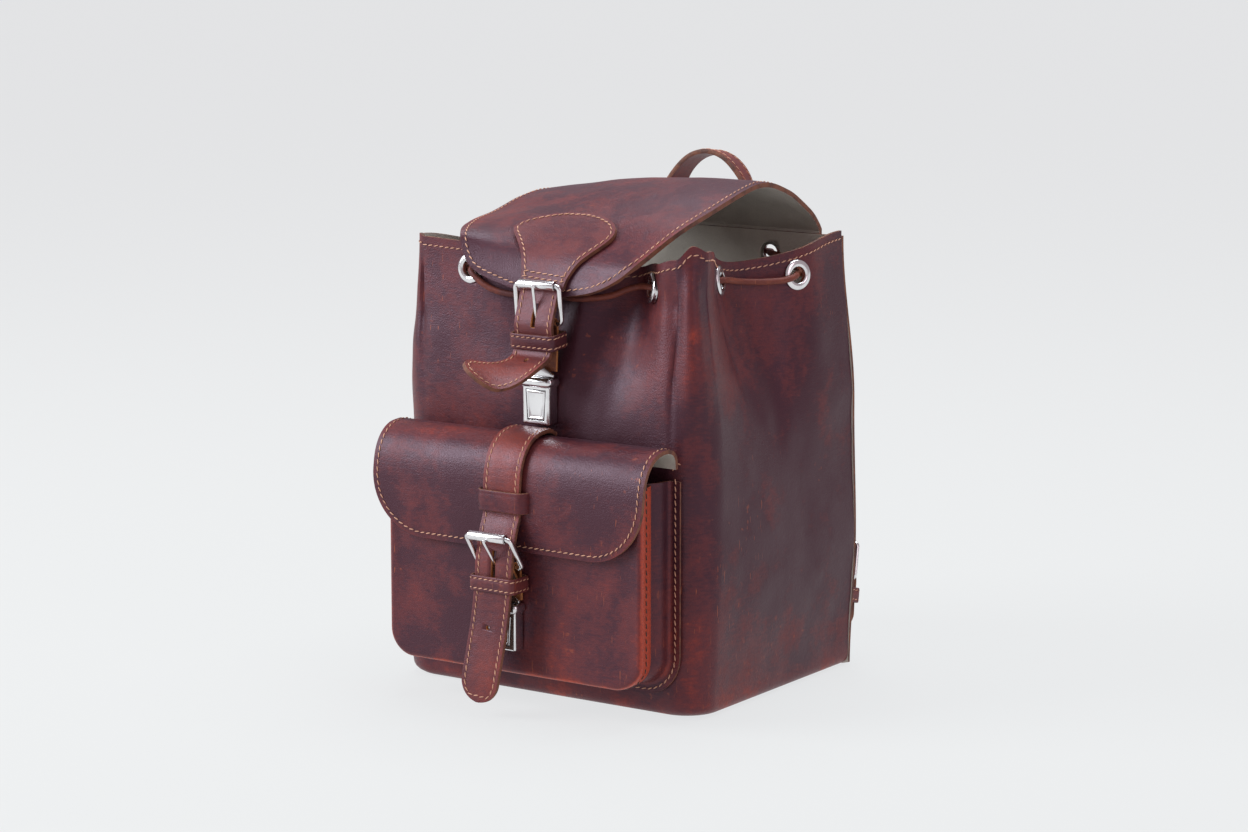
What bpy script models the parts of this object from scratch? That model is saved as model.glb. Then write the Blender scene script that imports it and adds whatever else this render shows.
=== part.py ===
"""Drawstring leather backpack with a front pocket, two buckled tuck locks and two shoulder straps.

The frame: +Z up, the front faces -Y, +X is the right side as seen from the front, and the origin is
the centre of the base underside. Lengths in this file are millimetres, turned into metres by MM
when a mesh is made. Each sub-part is one closed solid, and each moving group hangs from an empty
that stands on its joint's axis.
"""

import math

import bmesh
import bpy
from mathutils import Matrix, Vector

MM = 0.001

# Gaps and hides
GAP = 0.35
HIDE = 2.5
STRAP_THICK = 3.0
STRAP_WIDTH = 32.0
TAB_THICK = 2.0

# Body: front and sides in one hide, back panel and base
BASE_FRONT = 104.0
BACK_Y = 105.0
BACK_TOP = 322.5
BASE_TURN = 8.0
POCKET_FRONT_Y = -148.0

# Eyelets and drawstring
EYELET_OUTER = 11.0
EYELET_INNER = 6.0
EYELET_THICK = 4.2
CORD_RADIUS = 2.3

# Main flap
FLAP_HINGE = (0.0, 107.0, 327.6)
FLAP_THICK = 3.5
FLAP_STRIP_LOW = 317.6
FLAP_STRIP_TOP = 324.8

# Handle and yoke on the back
YOKE_TOP = 296.0
YOKE_LOW = 238.0
HANDLE_HINGE = (0.0, 113.0, 297.0)
HANDLE_TOP = 378.5
HANDLE_WIDTH = 20.0
HANDLE_THICK = 3.6
SHOULDER_AXIS = (39.0, 112.0, 236.0)

# Pocket
POCKET_HALF = 108.0
POCKET_LOW = 26.0
POCKET_TOP = 171.0
POCKET_CORNER = 20.0
FLANGE_WIDTH = 10.0
POCKET_HINGE = (0.0, -124.35, 201.0)

# Roller buckles
WIRE = 1.8
BUCKLE_HALF = 19.0
ROLLER_RADIUS = 3.5
ROLLER_BORE = 2.2
ROLLER_HALF = 16.4
PRONG_RADIUS = 1.15

# Tuck locks
LOCK_WIDTH = 24.0
LOCK_HEIGHT = 27.0
LOCK_DEPTH = 9.5
LOCK_WALL = 1.4
COLLAR_WIDTH = 28.0
COLLAR_HEIGHT = 7.0
COLLAR_DEPTH = 12.0

FINISHES = {
    "leather": ((0.115, 0.036, 0.030), 0.42, 0.0),
    "red_leather": ((0.230, 0.045, 0.024), 0.45, 0.0),
    "tan_leather": ((0.330, 0.130, 0.045), 0.60, 0.0),
    "cord_leather": ((0.200, 0.052, 0.026), 0.70, 0.0),
    "nickel": ((0.720, 0.720, 0.740), 0.22, 1.0),
}

bodies = {}


# ------------------------------------------------------------------ scene and mesh helpers


def clear_scene():
    """Empties the scene of objects."""
    for old in list(bpy.data.objects):
        bpy.data.objects.remove(old)


def add_body(name, pivot, parent=None):
    """An empty on a joint's axis, which the moving parts of that body hang from."""
    empty = bpy.data.objects.new("body_" + name, None)
    empty.empty_display_size = 0.02
    bpy.context.scene.collection.objects.link(empty)
    if parent:
        empty.parent = bodies[parent][0]
        empty.location = (Vector(pivot) - bodies[parent][1]) * MM
    else:
        empty.location = Vector(pivot) * MM
    bodies[name] = (empty, Vector(pivot))


def make_material(name, finish):
    """A Principled material for one part."""
    colour, rough, metal = FINISHES[finish]
    material = bpy.data.materials.new(name + "_" + finish)
    material.use_nodes = True
    shader = material.node_tree.nodes["Principled BSDF"]
    shader.inputs["Base Color"].default_value = (*colour, 1.0)
    shader.inputs["Roughness"].default_value = rough
    shader.inputs["Metallic"].default_value = metal
    material.diffuse_color = (*colour, 1.0)
    return material


def add_part(name, bm, finish, body="root"):
    """Turns a bmesh in millimetres into a named object on a body, with outward faces."""
    bmesh.ops.recalc_face_normals(bm, faces=bm.faces)
    if bm.calc_volume(signed=True) < 0:
        bmesh.ops.reverse_faces(bm, faces=bm.faces)
    parent, pivot = bodies[body]
    bmesh.ops.translate(bm, verts=bm.verts, vec=-pivot)
    bmesh.ops.scale(bm, verts=bm.verts, vec=(MM, MM, MM))
    mesh = bpy.data.meshes.new(name)
    bm.to_mesh(mesh)
    bm.free()
    mesh.shade_smooth()
    mesh.set_sharp_from_angle(angle=math.radians(35))
    mesh.materials.append(make_material(name, finish))
    part = bpy.data.objects.new(name, mesh)
    bpy.context.scene.collection.objects.link(part)
    part.parent = parent
    return part


def cut(part, cutters):
    """Takes each cutter out of the part with a Boolean, and hides the cutters."""
    for number, bm in enumerate(cutters):
        cutter = add_part(f"{part.name}_cutter_{number}", bm, "nickel")
        cutter.hide_render = True
        cutter.display_type = "WIRE"
        modifier = part.modifiers.new(f"cut_{number}", "BOOLEAN")
        modifier.operation = "DIFFERENCE"
        modifier.solver = "EXACT"
        modifier.object = cutter


def loft(rings, closed=False):
    """A closed solid through rings of equally many points, capped unless it runs round."""
    bm = bmesh.new()
    rows = [[bm.verts.new(point) for point in ring] for ring in rings]
    count = len(rows[0])
    pairs = list(zip(rows, rows[1:]))
    if closed:
        pairs.append((rows[-1], rows[0]))
    for low, high in pairs:
        for i in range(count):
            j = (i + 1) % count
            bm.faces.new((low[i], low[j], high[j], high[i]))
    if not closed:
        bm.faces.new(list(reversed(rows[0])))
        bm.faces.new(rows[-1])
    return bm


def sheet(grid, thick, inward):
    """A closed sheet: the outer face is the grid, and the inner one lies thick behind it.

    inward is +1 or -1 and picks the side of the grid's own normal that the thickness goes to.
    """
    rows, columns = len(grid), len(grid[0])
    bm = bmesh.new()
    outer = [[bm.verts.new(point) for point in row] for row in grid]
    inner = []
    for i in range(rows):
        line = []
        for j in range(columns):
            along = grid[min(i + 1, rows - 1)][j] - grid[max(i - 1, 0)][j]
            across = grid[i][min(j + 1, columns - 1)] - grid[i][max(j - 1, 0)]
            normal = along.cross(across).normalized() * inward
            line.append(bm.verts.new(grid[i][j] + normal * thick))
        inner.append(line)
    for i in range(rows - 1):
        for j in range(columns - 1):
            for layer in (outer, inner):
                bm.faces.new((layer[i][j], layer[i + 1][j], layer[i + 1][j + 1], layer[i][j + 1]))
    border = [(i, 0) for i in range(rows)]
    border += [(rows - 1, j) for j in range(1, columns)]
    border += [(i, columns - 1) for i in range(rows - 2, -1, -1)]
    border += [(0, j) for j in range(columns - 2, 0, -1)]
    for (a, b), (c, d) in zip(border, border[1:] + border[:1]):
        bm.faces.new((outer[a][b], outer[c][d], inner[c][d], inner[a][b]))
    return bm


def box(low, high):
    """A box between two corners."""
    bm = bmesh.new()
    size = Vector(high) - Vector(low)
    place = Matrix.Translation((Vector(low) + Vector(high)) / 2) @ Matrix.Diagonal((*size, 1))
    bmesh.ops.create_cube(bm, size=1.0, matrix=place)
    return bm


def plane_axes(axis):
    """Two unit vectors square to an axis and to each other."""
    axis = Vector(axis).normalized()
    side = axis.cross((0, 0, 1)) if abs(axis.z) < 0.9 else axis.cross((0, 1, 0))
    side.normalize()
    return side, axis.cross(side)


def turned(centre, axis, profile, segments=16):
    """A ring: a closed profile of (radius, height) turned round an axis."""
    side, up = plane_axes(axis)
    axis = Vector(axis).normalized()
    rings = []
    for k in range(segments):
        angle = 2 * math.pi * k / segments
        spoke = side * math.cos(angle) + up * math.sin(angle)
        rings.append([Vector(centre) + spoke * r + axis * h for r, h in profile])
    return loft(rings, closed=True)


def rod(start, end, radius, segments=16):
    """A plain cylinder between two points."""
    side, up = plane_axes(Vector(end) - Vector(start))
    rings = []
    for point in (start, end):
        ring = []
        for k in range(segments):
            angle = 2 * math.pi * k / segments
            ring.append(Vector(point) + (side * math.cos(angle) + up * math.sin(angle)) * radius)
        rings.append(ring)
    return loft(rings)


def wire(points, radius, sides=8, closed=False):
    """A round wire along a path."""
    points = [Vector(p) for p in points]
    count = len(points)
    rings = []
    side = None
    for i, point in enumerate(points):
        before = points[i - 1] if i or closed else point
        after = points[(i + 1) % count] if i < count - 1 or closed else point
        along = (after - before).normalized()
        if side is None:
            side = plane_axes(along)[0]
        side = (side - along * side.dot(along)).normalized()
        up = along.cross(side)
        turn = [2 * math.pi * k / sides for k in range(sides)]
        rings.append([point + (side * math.cos(a) + up * math.sin(a)) * radius for a in turn])
    return loft(rings, closed)


def smooth_path(points, steps):
    """Catmull-Rom points through the given ones."""
    points = [Vector(p) for p in points]
    ends = [points[0] * 2 - points[1], *points, points[-1] * 2 - points[-2]]
    path = []
    for a, b, c, d in zip(ends, ends[1:], ends[2:], ends[3:]):
        for k in range(steps):
            t = k / steps
            path.append(
                0.5 * ((b * 2) + (c - a) * t + (a * 2 - b * 5 + c * 4 - d) * t**2
                       + (b * 3 - a - c * 3 + d) * t**3)
            )
    path.append(points[-1])
    return path


def through(knots, t):
    """A smooth value at t, through (position, value) knots."""
    if t <= knots[0][0]:
        return knots[0][1]
    for (a, low), (b, high) in zip(knots, knots[1:]):
        if t <= b:
            s = (t - a) / (b - a)
            return low + (high - low) * s * s * (3 - 2 * s)
    return knots[-1][1]


def bump(offset, half_span):
    """1 at the middle of a fold and 0 past its half span."""
    if abs(offset) >= half_span:
        return 0.0
    return math.cos(math.pi / 2 * offset / half_span) ** 2


def strap(path, widths, normals, thick):
    """A flat strap: a path with a width and a face normal at each of its points."""
    rings = []
    for i, point in enumerate(path):
        along = (path[min(i + 1, len(path) - 1)] - path[max(i - 1, 0)]).normalized()
        face = Vector(normals[i])
        face = (face - along * face.dot(along)).normalized()
        side = along.cross(face)
        half = side * widths[i] / 2
        lift = face * thick / 2
        low, high = point - lift, point + lift
        rings.append([low - half, low + half, high + half, high - half])
    return loft(rings)


def tip_widths(path, width, length):
    """Strap widths that stay full and round off over the last stretch."""
    reach = [0.0]
    for a, b in zip(path, path[1:]):
        reach.append(reach[-1] + (b - a).length)
    widths = []
    for distance in reach:
        left = reach[-1] - distance
        share = 1 - min(left / length, 1.0)
        widths.append(max(width * math.sqrt(max(1 - share * share, 0.0)), width * 0.30))
    return widths


# ------------------------------------------------------------------ the body


def half_width(h):
    """Half the body's width at height share h."""
    return through(((0, 131.5), (0.30, 135.6), (0.62, 133), (1, 122)), h)


def front_depth(h):
    """How far the front stands before the origin at height share h."""
    return through(((0, BASE_FRONT), (0.05, 105), (0.66, 105), (1, 95)), h)


def rim_height(q):
    """Height of the rim round the body: q runs 0 to 5 from back left, by the front, to back right."""
    knots = (
        (0, 326), (0.55, 311), (1.0, 327), (1.6, 328), (2.0, 326), (2.16, 325), (2.3, 318), (2.5, 309),
        (2.75, 312), (2.9, 319), (3.0, 324), (3.5, 334), (4.0, 329), (4.45, 312), (5, 326.5),
    )
    return through(knots, q)


def body_point(q, h):
    """A point of the body's outer face. q: 0-1 left side, 1-2 corner, 2-3 front, 3-4 corner, 4-5 right."""
    z = rim_height(q) * h
    turn = BASE_TURN - math.sqrt(max(BASE_TURN**2 - max(BASE_TURN - z, 0) ** 2, 0))
    wide = half_width(h) - turn
    deep = front_depth(h) - turn
    back = BACK_Y - HIDE - GAP
    left_round = through(((0, 24), (0.6, 30), (1, 8)), h)
    right_round = through(((0, 24), (0.6, 30), (1, 17)), h)
    if q <= 1:
        x = -wide
        y = back + (left_round - deep - back) * q
        normal = Vector((-1, 0, 0))
    elif q <= 2:
        angle = math.pi + (q - 1) * math.pi / 2
        normal = Vector((math.cos(angle), math.sin(angle), 0))
        x = left_round - wide + normal.x * left_round
        y = left_round - deep + normal.y * left_round
    elif q <= 3:
        x = left_round - wide + (2 * wide - left_round - right_round) * (q - 2)
        y = -deep
        normal = Vector((0, -1, 0))
    elif q <= 4:
        angle = -math.pi / 2 + (q - 3) * math.pi / 2
        normal = Vector((math.cos(angle), math.sin(angle), 0))
        x = wide - right_round + normal.x * right_round
        y = right_round - deep + normal.y * right_round
    else:
        x = wide
        y = right_round - deep + (back + deep - right_round) * (q - 4)
        normal = Vector((1, 0, 0))
    side_fold = through(((0.45, 0), (1, 29)), h) * bump(y + 10, 76)
    front_fold = through(((0.62, 0), (1, 26)), h) * bump(x - 58, 40)
    front_fold += through(((0.70, 0), (1, 9)), h) * bump(x, 60)
    inset = side_fold if q < 1 or q > 4 else front_fold if 2 < q < 3 else 0.0
    return Vector((x, y, z)) - normal * inset


def body_normal(q, h):
    """Outward normal of the body's outer face."""
    along = body_point(q + 0.02, h) - body_point(q - 0.02, h)
    up = body_point(q, h + 0.01) - body_point(q, h - 0.01)
    return along.cross(up).normalized()


def make_body():
    """Front and sides in one hide, with a hole under each of its six eyelets."""
    columns = [k / 12 for k in range(12)] + [1 + k / 5 for k in range(5)]
    columns += [2 + k / 20 for k in range(20)] + [3 + k / 5 for k in range(5)]
    columns += [4 + k / 12 for k in range(13)]
    heights = (0, 0.008, 0.025, 0.15, 0.32, 0.48, 0.60, 0.70, 0.78, 0.85, 0.90, 0.95, 1.0)
    grid = [[body_point(q, h) for q in columns] for h in heights]
    wall = add_part("body_front_and_sides", sheet(grid, HIDE, 1), "leather")
    cut(wall, [eyelet_cutter(*body_eyelet(q, z)) for q, z in BODY_EYELETS.values()])


def make_back_panel():
    """The flat back panel, closing the body behind."""
    heights = (0, 0.012, 0.3, 0.62, 0.8, 0.9, 1.0)
    grid = []
    for h in heights:
        wide = half_width(h) - (BASE_TURN * 0.6 if h == 0 else 0)
        z = h * BACK_TOP
        grid.append([Vector((wide * k / 4, BACK_Y, z)) for k in range(-4, 5)])
    back = add_part("back_panel", sheet(grid, HIDE, -1), "leather")
    cut(back, [eyelet_cutter(point, normal) for point, normal in BACK_EYELETS.values()])


def make_base():
    """The base panel, set inside the turned lower edge of the hide."""
    wide, deep, corner = 119.0, 91.5, 18.0
    back = BACK_Y - HIDE - 2 * GAP
    outline = []
    for cx, cy, start in ((wide, back, 0), (-wide, back, 90), (-wide, -deep, 180), (wide, -deep, 270)):
        r = 1.0 if cy > 0 else corner
        for k in range(5):
            angle = math.radians(start + 22.5 * k)
            x = cx - math.copysign(r, cx) + r * math.cos(angle)
            y = cy - math.copysign(r, cy) + r * math.sin(angle)
            outline.append((x, y))
    rings = [[Vector((x, y, z)) for x, y in outline] for z in (0.0, 3.0)]
    add_part("base_panel", loft(rings), "leather")


# ------------------------------------------------------------------ eyelets and drawstring


BODY_EYELETS = {
    "front_left": (2.195, 306.0),
    "front_right": (2.876, 301.5),
    "side_right_front": (4.305, 301.5),
    "side_right_rear": (4.690, 299.5),
    "side_left_front": (0.695, 301.5),
    "side_left_rear": (0.310, 299.5),
}
BACK_EYELETS = {
    "back_left": (Vector((-60, BACK_Y, 306)), Vector((0, 1, 0))),
    "back_right": (Vector((60, BACK_Y, 306)), Vector((0, 1, 0))),
}


def body_eyelet(q, z):
    """Where an eyelet sits in the body's hide, and its outward axis."""
    h = z / rim_height(q)
    return body_point(q, h), body_normal(q, h)


def eyelet_cutter(point, normal):
    """The hole in the hide under an eyelet."""
    return rod(point - normal * 12, point + normal * 8, EYELET_OUTER + GAP + 0.25, 20)


def make_eyelets():
    """Eight nickel eyelets, six in the hide and two in the back panel."""
    places = {name: body_eyelet(*spot) for name, spot in BODY_EYELETS.items()}
    places.update(BACK_EYELETS)
    half = EYELET_THICK / 2
    middle = (EYELET_INNER + EYELET_OUTER) / 2
    profile = [
        (EYELET_INNER, -half * 0.6), (EYELET_INNER, half * 0.6), (middle, half),
        (EYELET_OUTER, half * 0.35), (EYELET_OUTER, -half * 0.35), (middle, -half),
    ]
    for name, (point, normal) in places.items():
        centre = point - normal * HIDE / 2
        add_part("eyelet_" + name, turned(centre, normal, profile, 20), "nickel")


# The lace's route on the hide: place round the body (q), height, and stand-off from the outer face.
# It runs from the knot in front, over and under the hide, to the eyelets in the back panel.
LACE_RIGHT = (
    (2.545, 290.5, 3.6), (2.62, 290.0, 4.5), (2.70, 292.0, 11.0), (2.775, 296.0, 12.0), (2.828, 300.0, 5.6),
    (2.858, 301.5, 2.9), (2.876, 301.5, -1.2), (2.888, 301.5, -5.2), (2.93, 302.0, -8.0),
    (3.35, 302.0, -9.0), (3.8, 302.0, -9.0), (4.12, 302.0, -8.0), (4.255, 301.5, -7.0),
    (4.290, 301.5, -4.6), (4.305, 301.5, -1.2), (4.325, 301.0, 3.0), (4.36, 300.0, 4.4),
    (4.43, 298.0, 4.6), (4.52, 296.5, 7.0), (4.60, 296.5, 7.0), (4.645, 297.5, 5.0), (4.672, 299.0, 3.2),
    (4.690, 299.5, -1.2), (4.705, 299.7, -5.0), (4.76, 300.0, -9.0),
)
LACE_LEFT = (
    (2.435, 290.0, 3.6), (2.36, 289.5, 3.4), (2.29, 292.5, 3.4), (2.235, 299.0, 3.9),
    (2.208, 304.0, 3.3), (2.195, 306.0, -1.2), (2.185, 306.0, -5.4), (2.13, 305.0, -8.0),
    (1.65, 303.0, -7.0), (1.2, 302.0, -7.0), (0.88, 302.0, -8.0), (0.745, 301.5, -7.0),
    (0.710, 301.5, -4.6), (0.695, 301.5, -1.2), (0.675, 301.0, 3.0), (0.64, 300.0, 4.4),
    (0.57, 298.0, 4.6), (0.48, 296.5, 7.0), (0.40, 296.5, 7.0), (0.355, 297.5, 5.0), (0.328, 299.0, 3.2),
    (0.310, 299.5, -1.2), (0.295, 299.7, -5.0), (0.24, 300.0, -9.0),
)
LACE_BEHIND = (
    (95.0, 78.0, 302.0), (80.0, 91.0, 304.5), (67.5, 96.6, 306.0), (61.6, 99.8, 306.0),
    (60.0, 103.0, 306.0), (58.8, 106.4, 306.0), (54.8, 108.6, 306.0), (38.0, 108.7, 306.0),
    (18.0, 108.7, 306.0),
)


def lace_path():
    """The lace's centre line, from the knot's right side all the way round to its left side."""
    def on_hide(spot):
        q, z, lift = spot
        h = z / rim_height(q)
        return body_point(q, h) + body_normal(q, h) * lift

    right = [on_hide(spot) for spot in LACE_RIGHT]
    left = [on_hide(spot) for spot in LACE_LEFT]
    behind = [Vector(p) for p in LACE_BEHIND]
    mirrored = [Vector((-p.x, p.y, p.z)) for p in reversed(behind)]
    return right + behind + mirrored + list(reversed(left))


def make_drawstring():
    """One leather lace through all eight eyelets, and the knot that joins its ends in front."""
    path = lace_path()
    curve = bpy.data.curves.new("drawstring", "CURVE")
    curve.dimensions = "3D"
    curve.bevel_depth = CORD_RADIUS * MM
    curve.bevel_resolution = 2
    curve.use_fill_caps = True
    spline = curve.splines.new("POLY")
    spline.points.add(len(path) - 1)
    for node, point in zip(spline.points, path):
        node.co = (*(point * MM), 1.0)
    curve.materials.append(make_material("drawstring", "cord_leather"))
    lace = bpy.data.objects.new("drawstring", curve)
    bpy.context.scene.collection.objects.link(lace)
    lace.parent = bodies["root"][0]

    middle = (path[0] + path[-1]) / 2
    reach = (path[0] - path[-1]).length / 2 - 3 * GAP
    profile = [
        (0.6, -reach), (3.0, -reach), (3.9, -reach * 0.4), (3.9, reach * 0.4), (3.0, reach), (0.6, reach),
    ]
    add_part("drawstring_knot", turned(middle, path[0] - path[-1], profile, 12), "cord_leather")


# ------------------------------------------------------------------ main flap


FLAP_ROWS = (
    ((-101, 107.5, 328.4), (0, 107.5, 328.4), (101, 107.5, 328.4)),
    ((-101, 92, 337), (0, 92, 343), (101, 92, 343)),
    ((-101, 64, 346), (0, 64, 357), (101, 64, 358)),
    ((-101, 30, 349), (0, 30, 365), (101, 30, 367)),
    ((-101, -2, 345), (0, -8, 361), (101, -2, 363)),
    ((-100, -32, 339), (0, -38, 352), (98, -32, 354)),
    ((-91, -70, 336), (0, -66, 341), (92, -70, 341)),
    ((-79, -97, 332), (0, -90, 321), (79, -98.5, 322)),
    ((-71, -103.5, 316), (0, -100, 306), (62, -102.5, 308)),
    ((-57, -104.5, 304), (0, -103.5, 297), (42, -104, 298)),
    ((-16, -104.5, 292.5), (0, -104.5, 292.5), (16, -104.5, 292.5)),
)


def flap_point(u, v):
    """A point of the flap's outer face: u from -1 left to 1 right, v from 0 at the hinge to 1 in front."""
    place = v * (len(FLAP_ROWS) - 1)
    row = min(int(place), len(FLAP_ROWS) - 2)
    around = [FLAP_ROWS[min(max(row + k, 0), len(FLAP_ROWS) - 1)] for k in (-1, 0, 1, 2)]
    lines = [Vector(across_row(entry, u)) for entry in around]
    return catmull(lines, place - row)


def across_row(row, u):
    """A point on the even curve through a row's left, middle and right points."""
    left, middle, right = (Vector(p) for p in row)
    return left * (u * (u - 1) / 2) + middle * (1 - u * u) + right * (u * (u + 1) / 2)


def catmull(four, t):
    """A point between the second and third of four, on a smooth curve."""
    a, b, c, d = four
    return 0.5 * ((b * 2) + (c - a) * t + (a * 2 - b * 5 + c * 4 - d) * t**2
                  + (b * 3 - a - c * 3 + d) * t**3)


def make_main_flap():
    """The flap, and the strip of it that is sewn on behind the back panel."""
    grid = []
    for i in range(17):
        grid.append([flap_point(-1 + j / 6, i / 16) for j in range(13)])
    add_part("main_flap", sheet(grid, FLAP_THICK, -1), "leather", "flap")
    low = (-101, BACK_Y + GAP, FLAP_STRIP_LOW)
    high = (101, BACK_Y + GAP + HIDE, FLAP_STRIP_TOP)
    add_part("flap_sewn_strip", box(low, high), "leather")


# ------------------------------------------------------------------ roller buckles


class Buckle:
    """A roller buckle's own frame: across, along its arms from heel to roller, and outward."""

    def __init__(self, name, body, roller, heel, outward):
        self.name = name
        self.body = body
        self.roller = Vector(roller)
        self.heel = Vector(heel)
        self.along = (self.roller - self.heel).normalized()
        self.across = self.along.cross(Vector(outward)).normalized()
        self.outward = self.across.cross(self.along)

    def at(self, across, along, outward):
        """A point given from the heel bar's middle."""
        return self.heel + self.across * across + self.along * along + self.outward * outward

    def make(self):
        """Frame, roller and prong; the roller and the prong each turn on their own bar."""
        span = (self.roller - self.heel).length
        corner = 3.0
        loop = []
        for sx, top in ((1, 0), (1, 1), (-1, 1), (-1, 0)):
            cx, cy = sx * (BUCKLE_HALF - corner), (span - corner if top else corner)
            start = {(1, 0): -90, (1, 1): 0, (-1, 1): 90, (-1, 0): 180}[(sx, top)]
            for k in range(4):
                angle = math.radians(start + 30 * k)
                loop.append(self.at(cx + corner * math.cos(angle), cy + corner * math.sin(angle), 0))
        add_part(self.name + "_frame", wire(loop, WIRE, 8, closed=True), "nickel", self.body)
        profile = [
            (ROLLER_BORE, -ROLLER_HALF + 1), (ROLLER_RADIUS, -ROLLER_HALF + 1),
            (ROLLER_RADIUS, ROLLER_HALF - 1), (ROLLER_BORE, ROLLER_HALF - 1),
        ]
        roller_body = self.name + "_roller"
        add_body(roller_body, self.roller, self.body)
        add_part(roller_body, turned(self.roller, self.across, profile, 12), "nickel", roller_body)
        prong_body = self.name + "_prong"
        add_body(prong_body, self.heel, self.body)
        hook = []
        for degrees in (250, 205, 160, 115, 75):
            angle = math.radians(degrees)
            reach = WIRE + GAP + PRONG_RADIUS + 0.15
            hook.append(self.at(0, reach * math.cos(angle), reach * math.sin(angle)))
        reach = ROLLER_RADIUS + GAP + PRONG_RADIUS
        hook += [self.at(0, 9.5, 4.3), self.at(0, 17, 4.6)]
        hook += [self.at(0, span - 2, reach + 0.15), self.at(0, span + 2.2, reach + 0.1)]
        add_part(prong_body, wire(hook, PRONG_RADIUS, 8), "nickel", prong_body)

    def strap_points(self):
        """Where the strap's middle passes: behind the roller, then over the heel bar."""
        behind = ROLLER_RADIUS + GAP + STRAP_THICK / 2 + 0.3
        over = WIRE + 2 * GAP + HIDE + STRAP_THICK / 2 + 0.9
        span = (self.roller - self.heel).length
        return self.at(0, span, -behind), self.at(0, 0.0, over)

    def prong_slot(self):
        """The slot in the strap that the prong comes up through."""
        rings = []
        for side in (-1.9, 1.9):
            corners = ((-2.0, -8.0), (14.0, -8.0), (14.0, 12.0), (-2.0, 12.0))
            rings.append([self.at(side, along, outward) for along, outward in corners])
        return loft(rings)


def make_keeper(name, centre, along, outward, body, depth, width=STRAP_WIDTH):
    """A keeper loop round the strap and the tab behind it."""
    along = Vector(along).normalized()
    across = along.cross(Vector(outward)).normalized()
    outward = across.cross(along)
    wall, half_height = 1.6, 5.6
    inner_x, inner_y = width / 2 + 1.6, depth / 2
    rings = []
    for offset, h in ((0, -half_height), (wall, -half_height), (wall, half_height), (0, half_height)):
        ring = []
        rx, ry = inner_x + offset, inner_y + offset
        for x, y in ((rx, -ry + 1), (rx, ry - 1), (rx - 1.5, ry), (1.5 - rx, ry), (-rx, ry - 1),
                     (-rx, 1 - ry), (1.5 - rx, -ry), (rx - 1.5, -ry)):
            ring.append(Vector(centre) + across * x + outward * y + along * h)
        rings.append(ring)
    add_part(name, loft(rings, closed=True), "leather", body)


# ------------------------------------------------------------------ tuck locks


def make_lock(name, top, surface_y, body, insert):
    """A tuck lock: case with a press lever, and the tongue plate above it on the strap's tab.

    top is the height of the collar's upper face, and insert how far the tongue goes into it.
    """
    face = surface_y - GAP
    front = face - LOCK_DEPTH
    low = top - COLLAR_HEIGHT - LOCK_HEIGHT
    rings = []
    half = LOCK_WIDTH / 2
    for z, inset in ((low, 1.2), (low + 1.5, 0.0), (top - COLLAR_HEIGHT, 0.0)):
        ring = []
        for x, y in ((-half, face), (half, face), (half, front + 1.5), (half - 1.5, front),
                     (1.5 - half, front), (-half, front + 1.5)):
            ring.append(Vector((x, min(y + inset, face), z)))
        rings.append(ring)
    collar = COLLAR_WIDTH / 2
    for z, grow in ((top - COLLAR_HEIGHT + 0.6, 0.0), (top - 1.4, 0.0), (top, -1.2)):
        ring = []
        deep = face - COLLAR_DEPTH - grow
        for x, y in ((-collar - grow, face), (collar + grow, face), (collar + grow, deep + 3),
                     (collar + grow - 2.5, deep), (2.5 - collar - grow, deep), (-collar - grow, deep + 3)):
            ring.append(Vector((x, y, z)))
        rings.append(ring)
    case = add_part(name + "_case", loft(rings), "nickel")
    inside = box((LOCK_WALL - half, front + LOCK_WALL, low + 1.8),
                 (half - LOCK_WALL, face - LOCK_WALL, top - COLLAR_HEIGHT - 1.0))
    window = loft([
        [Vector((x, y, z)) for x, z in ((-7.4, low + 3.2), (7.4, low + 3.2), (8.8, top - COLLAR_HEIGHT - 1.6),
                                       (-8.8, top - COLLAR_HEIGHT - 1.6))]
        for y in (front - 2, front + LOCK_WALL + 1)
    ])
    mouth = box((-9.5, front + 2.2, top - COLLAR_HEIGHT - 3), (9.5, face - 1.6, top + 2))
    cut(case, [inside, window, mouth])

    lever_body = name + "_lever"
    hinge_z = top - COLLAR_HEIGHT - 2.6
    add_body(lever_body, (0, front + 0.8, hinge_z))
    plate = []
    for y in (front - 0.3, front + 1.1):
        ring = []
        for x, z in ((-6.9, low + 3.9), (6.9, low + 3.9), (8.2, hinge_z + 0.3), (-8.2, hinge_z + 0.3)):
            ring.append(Vector((x, y, z)))
        plate.append(ring)
    add_part(lever_body, loft(plate), "nickel", lever_body)

    tongue_y = face - 5.2
    outline = [(-13, top + 0.6), (-9.0, top + 0.6), (-9.0, top - insert), (9.0, top - insert),
               (9.0, top + 0.6), (13, top + 0.6), (13, top + 2.4), (5.2, top + 7.4), (2.6, top + 5.6),
               (0, top + 9.6), (-2.6, top + 7.8), (-13, top + 2.4)]
    if insert <= 0:
        outline = [(-13, top + 0.6), (13, top + 0.6)] + outline[6:]
    rings = [[Vector((x, y, z)) for x, z in outline] for y in (tongue_y - 1.1, tongue_y + 1.1)]
    add_part(name + "_tongue", loft(rings), "nickel", body)


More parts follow.
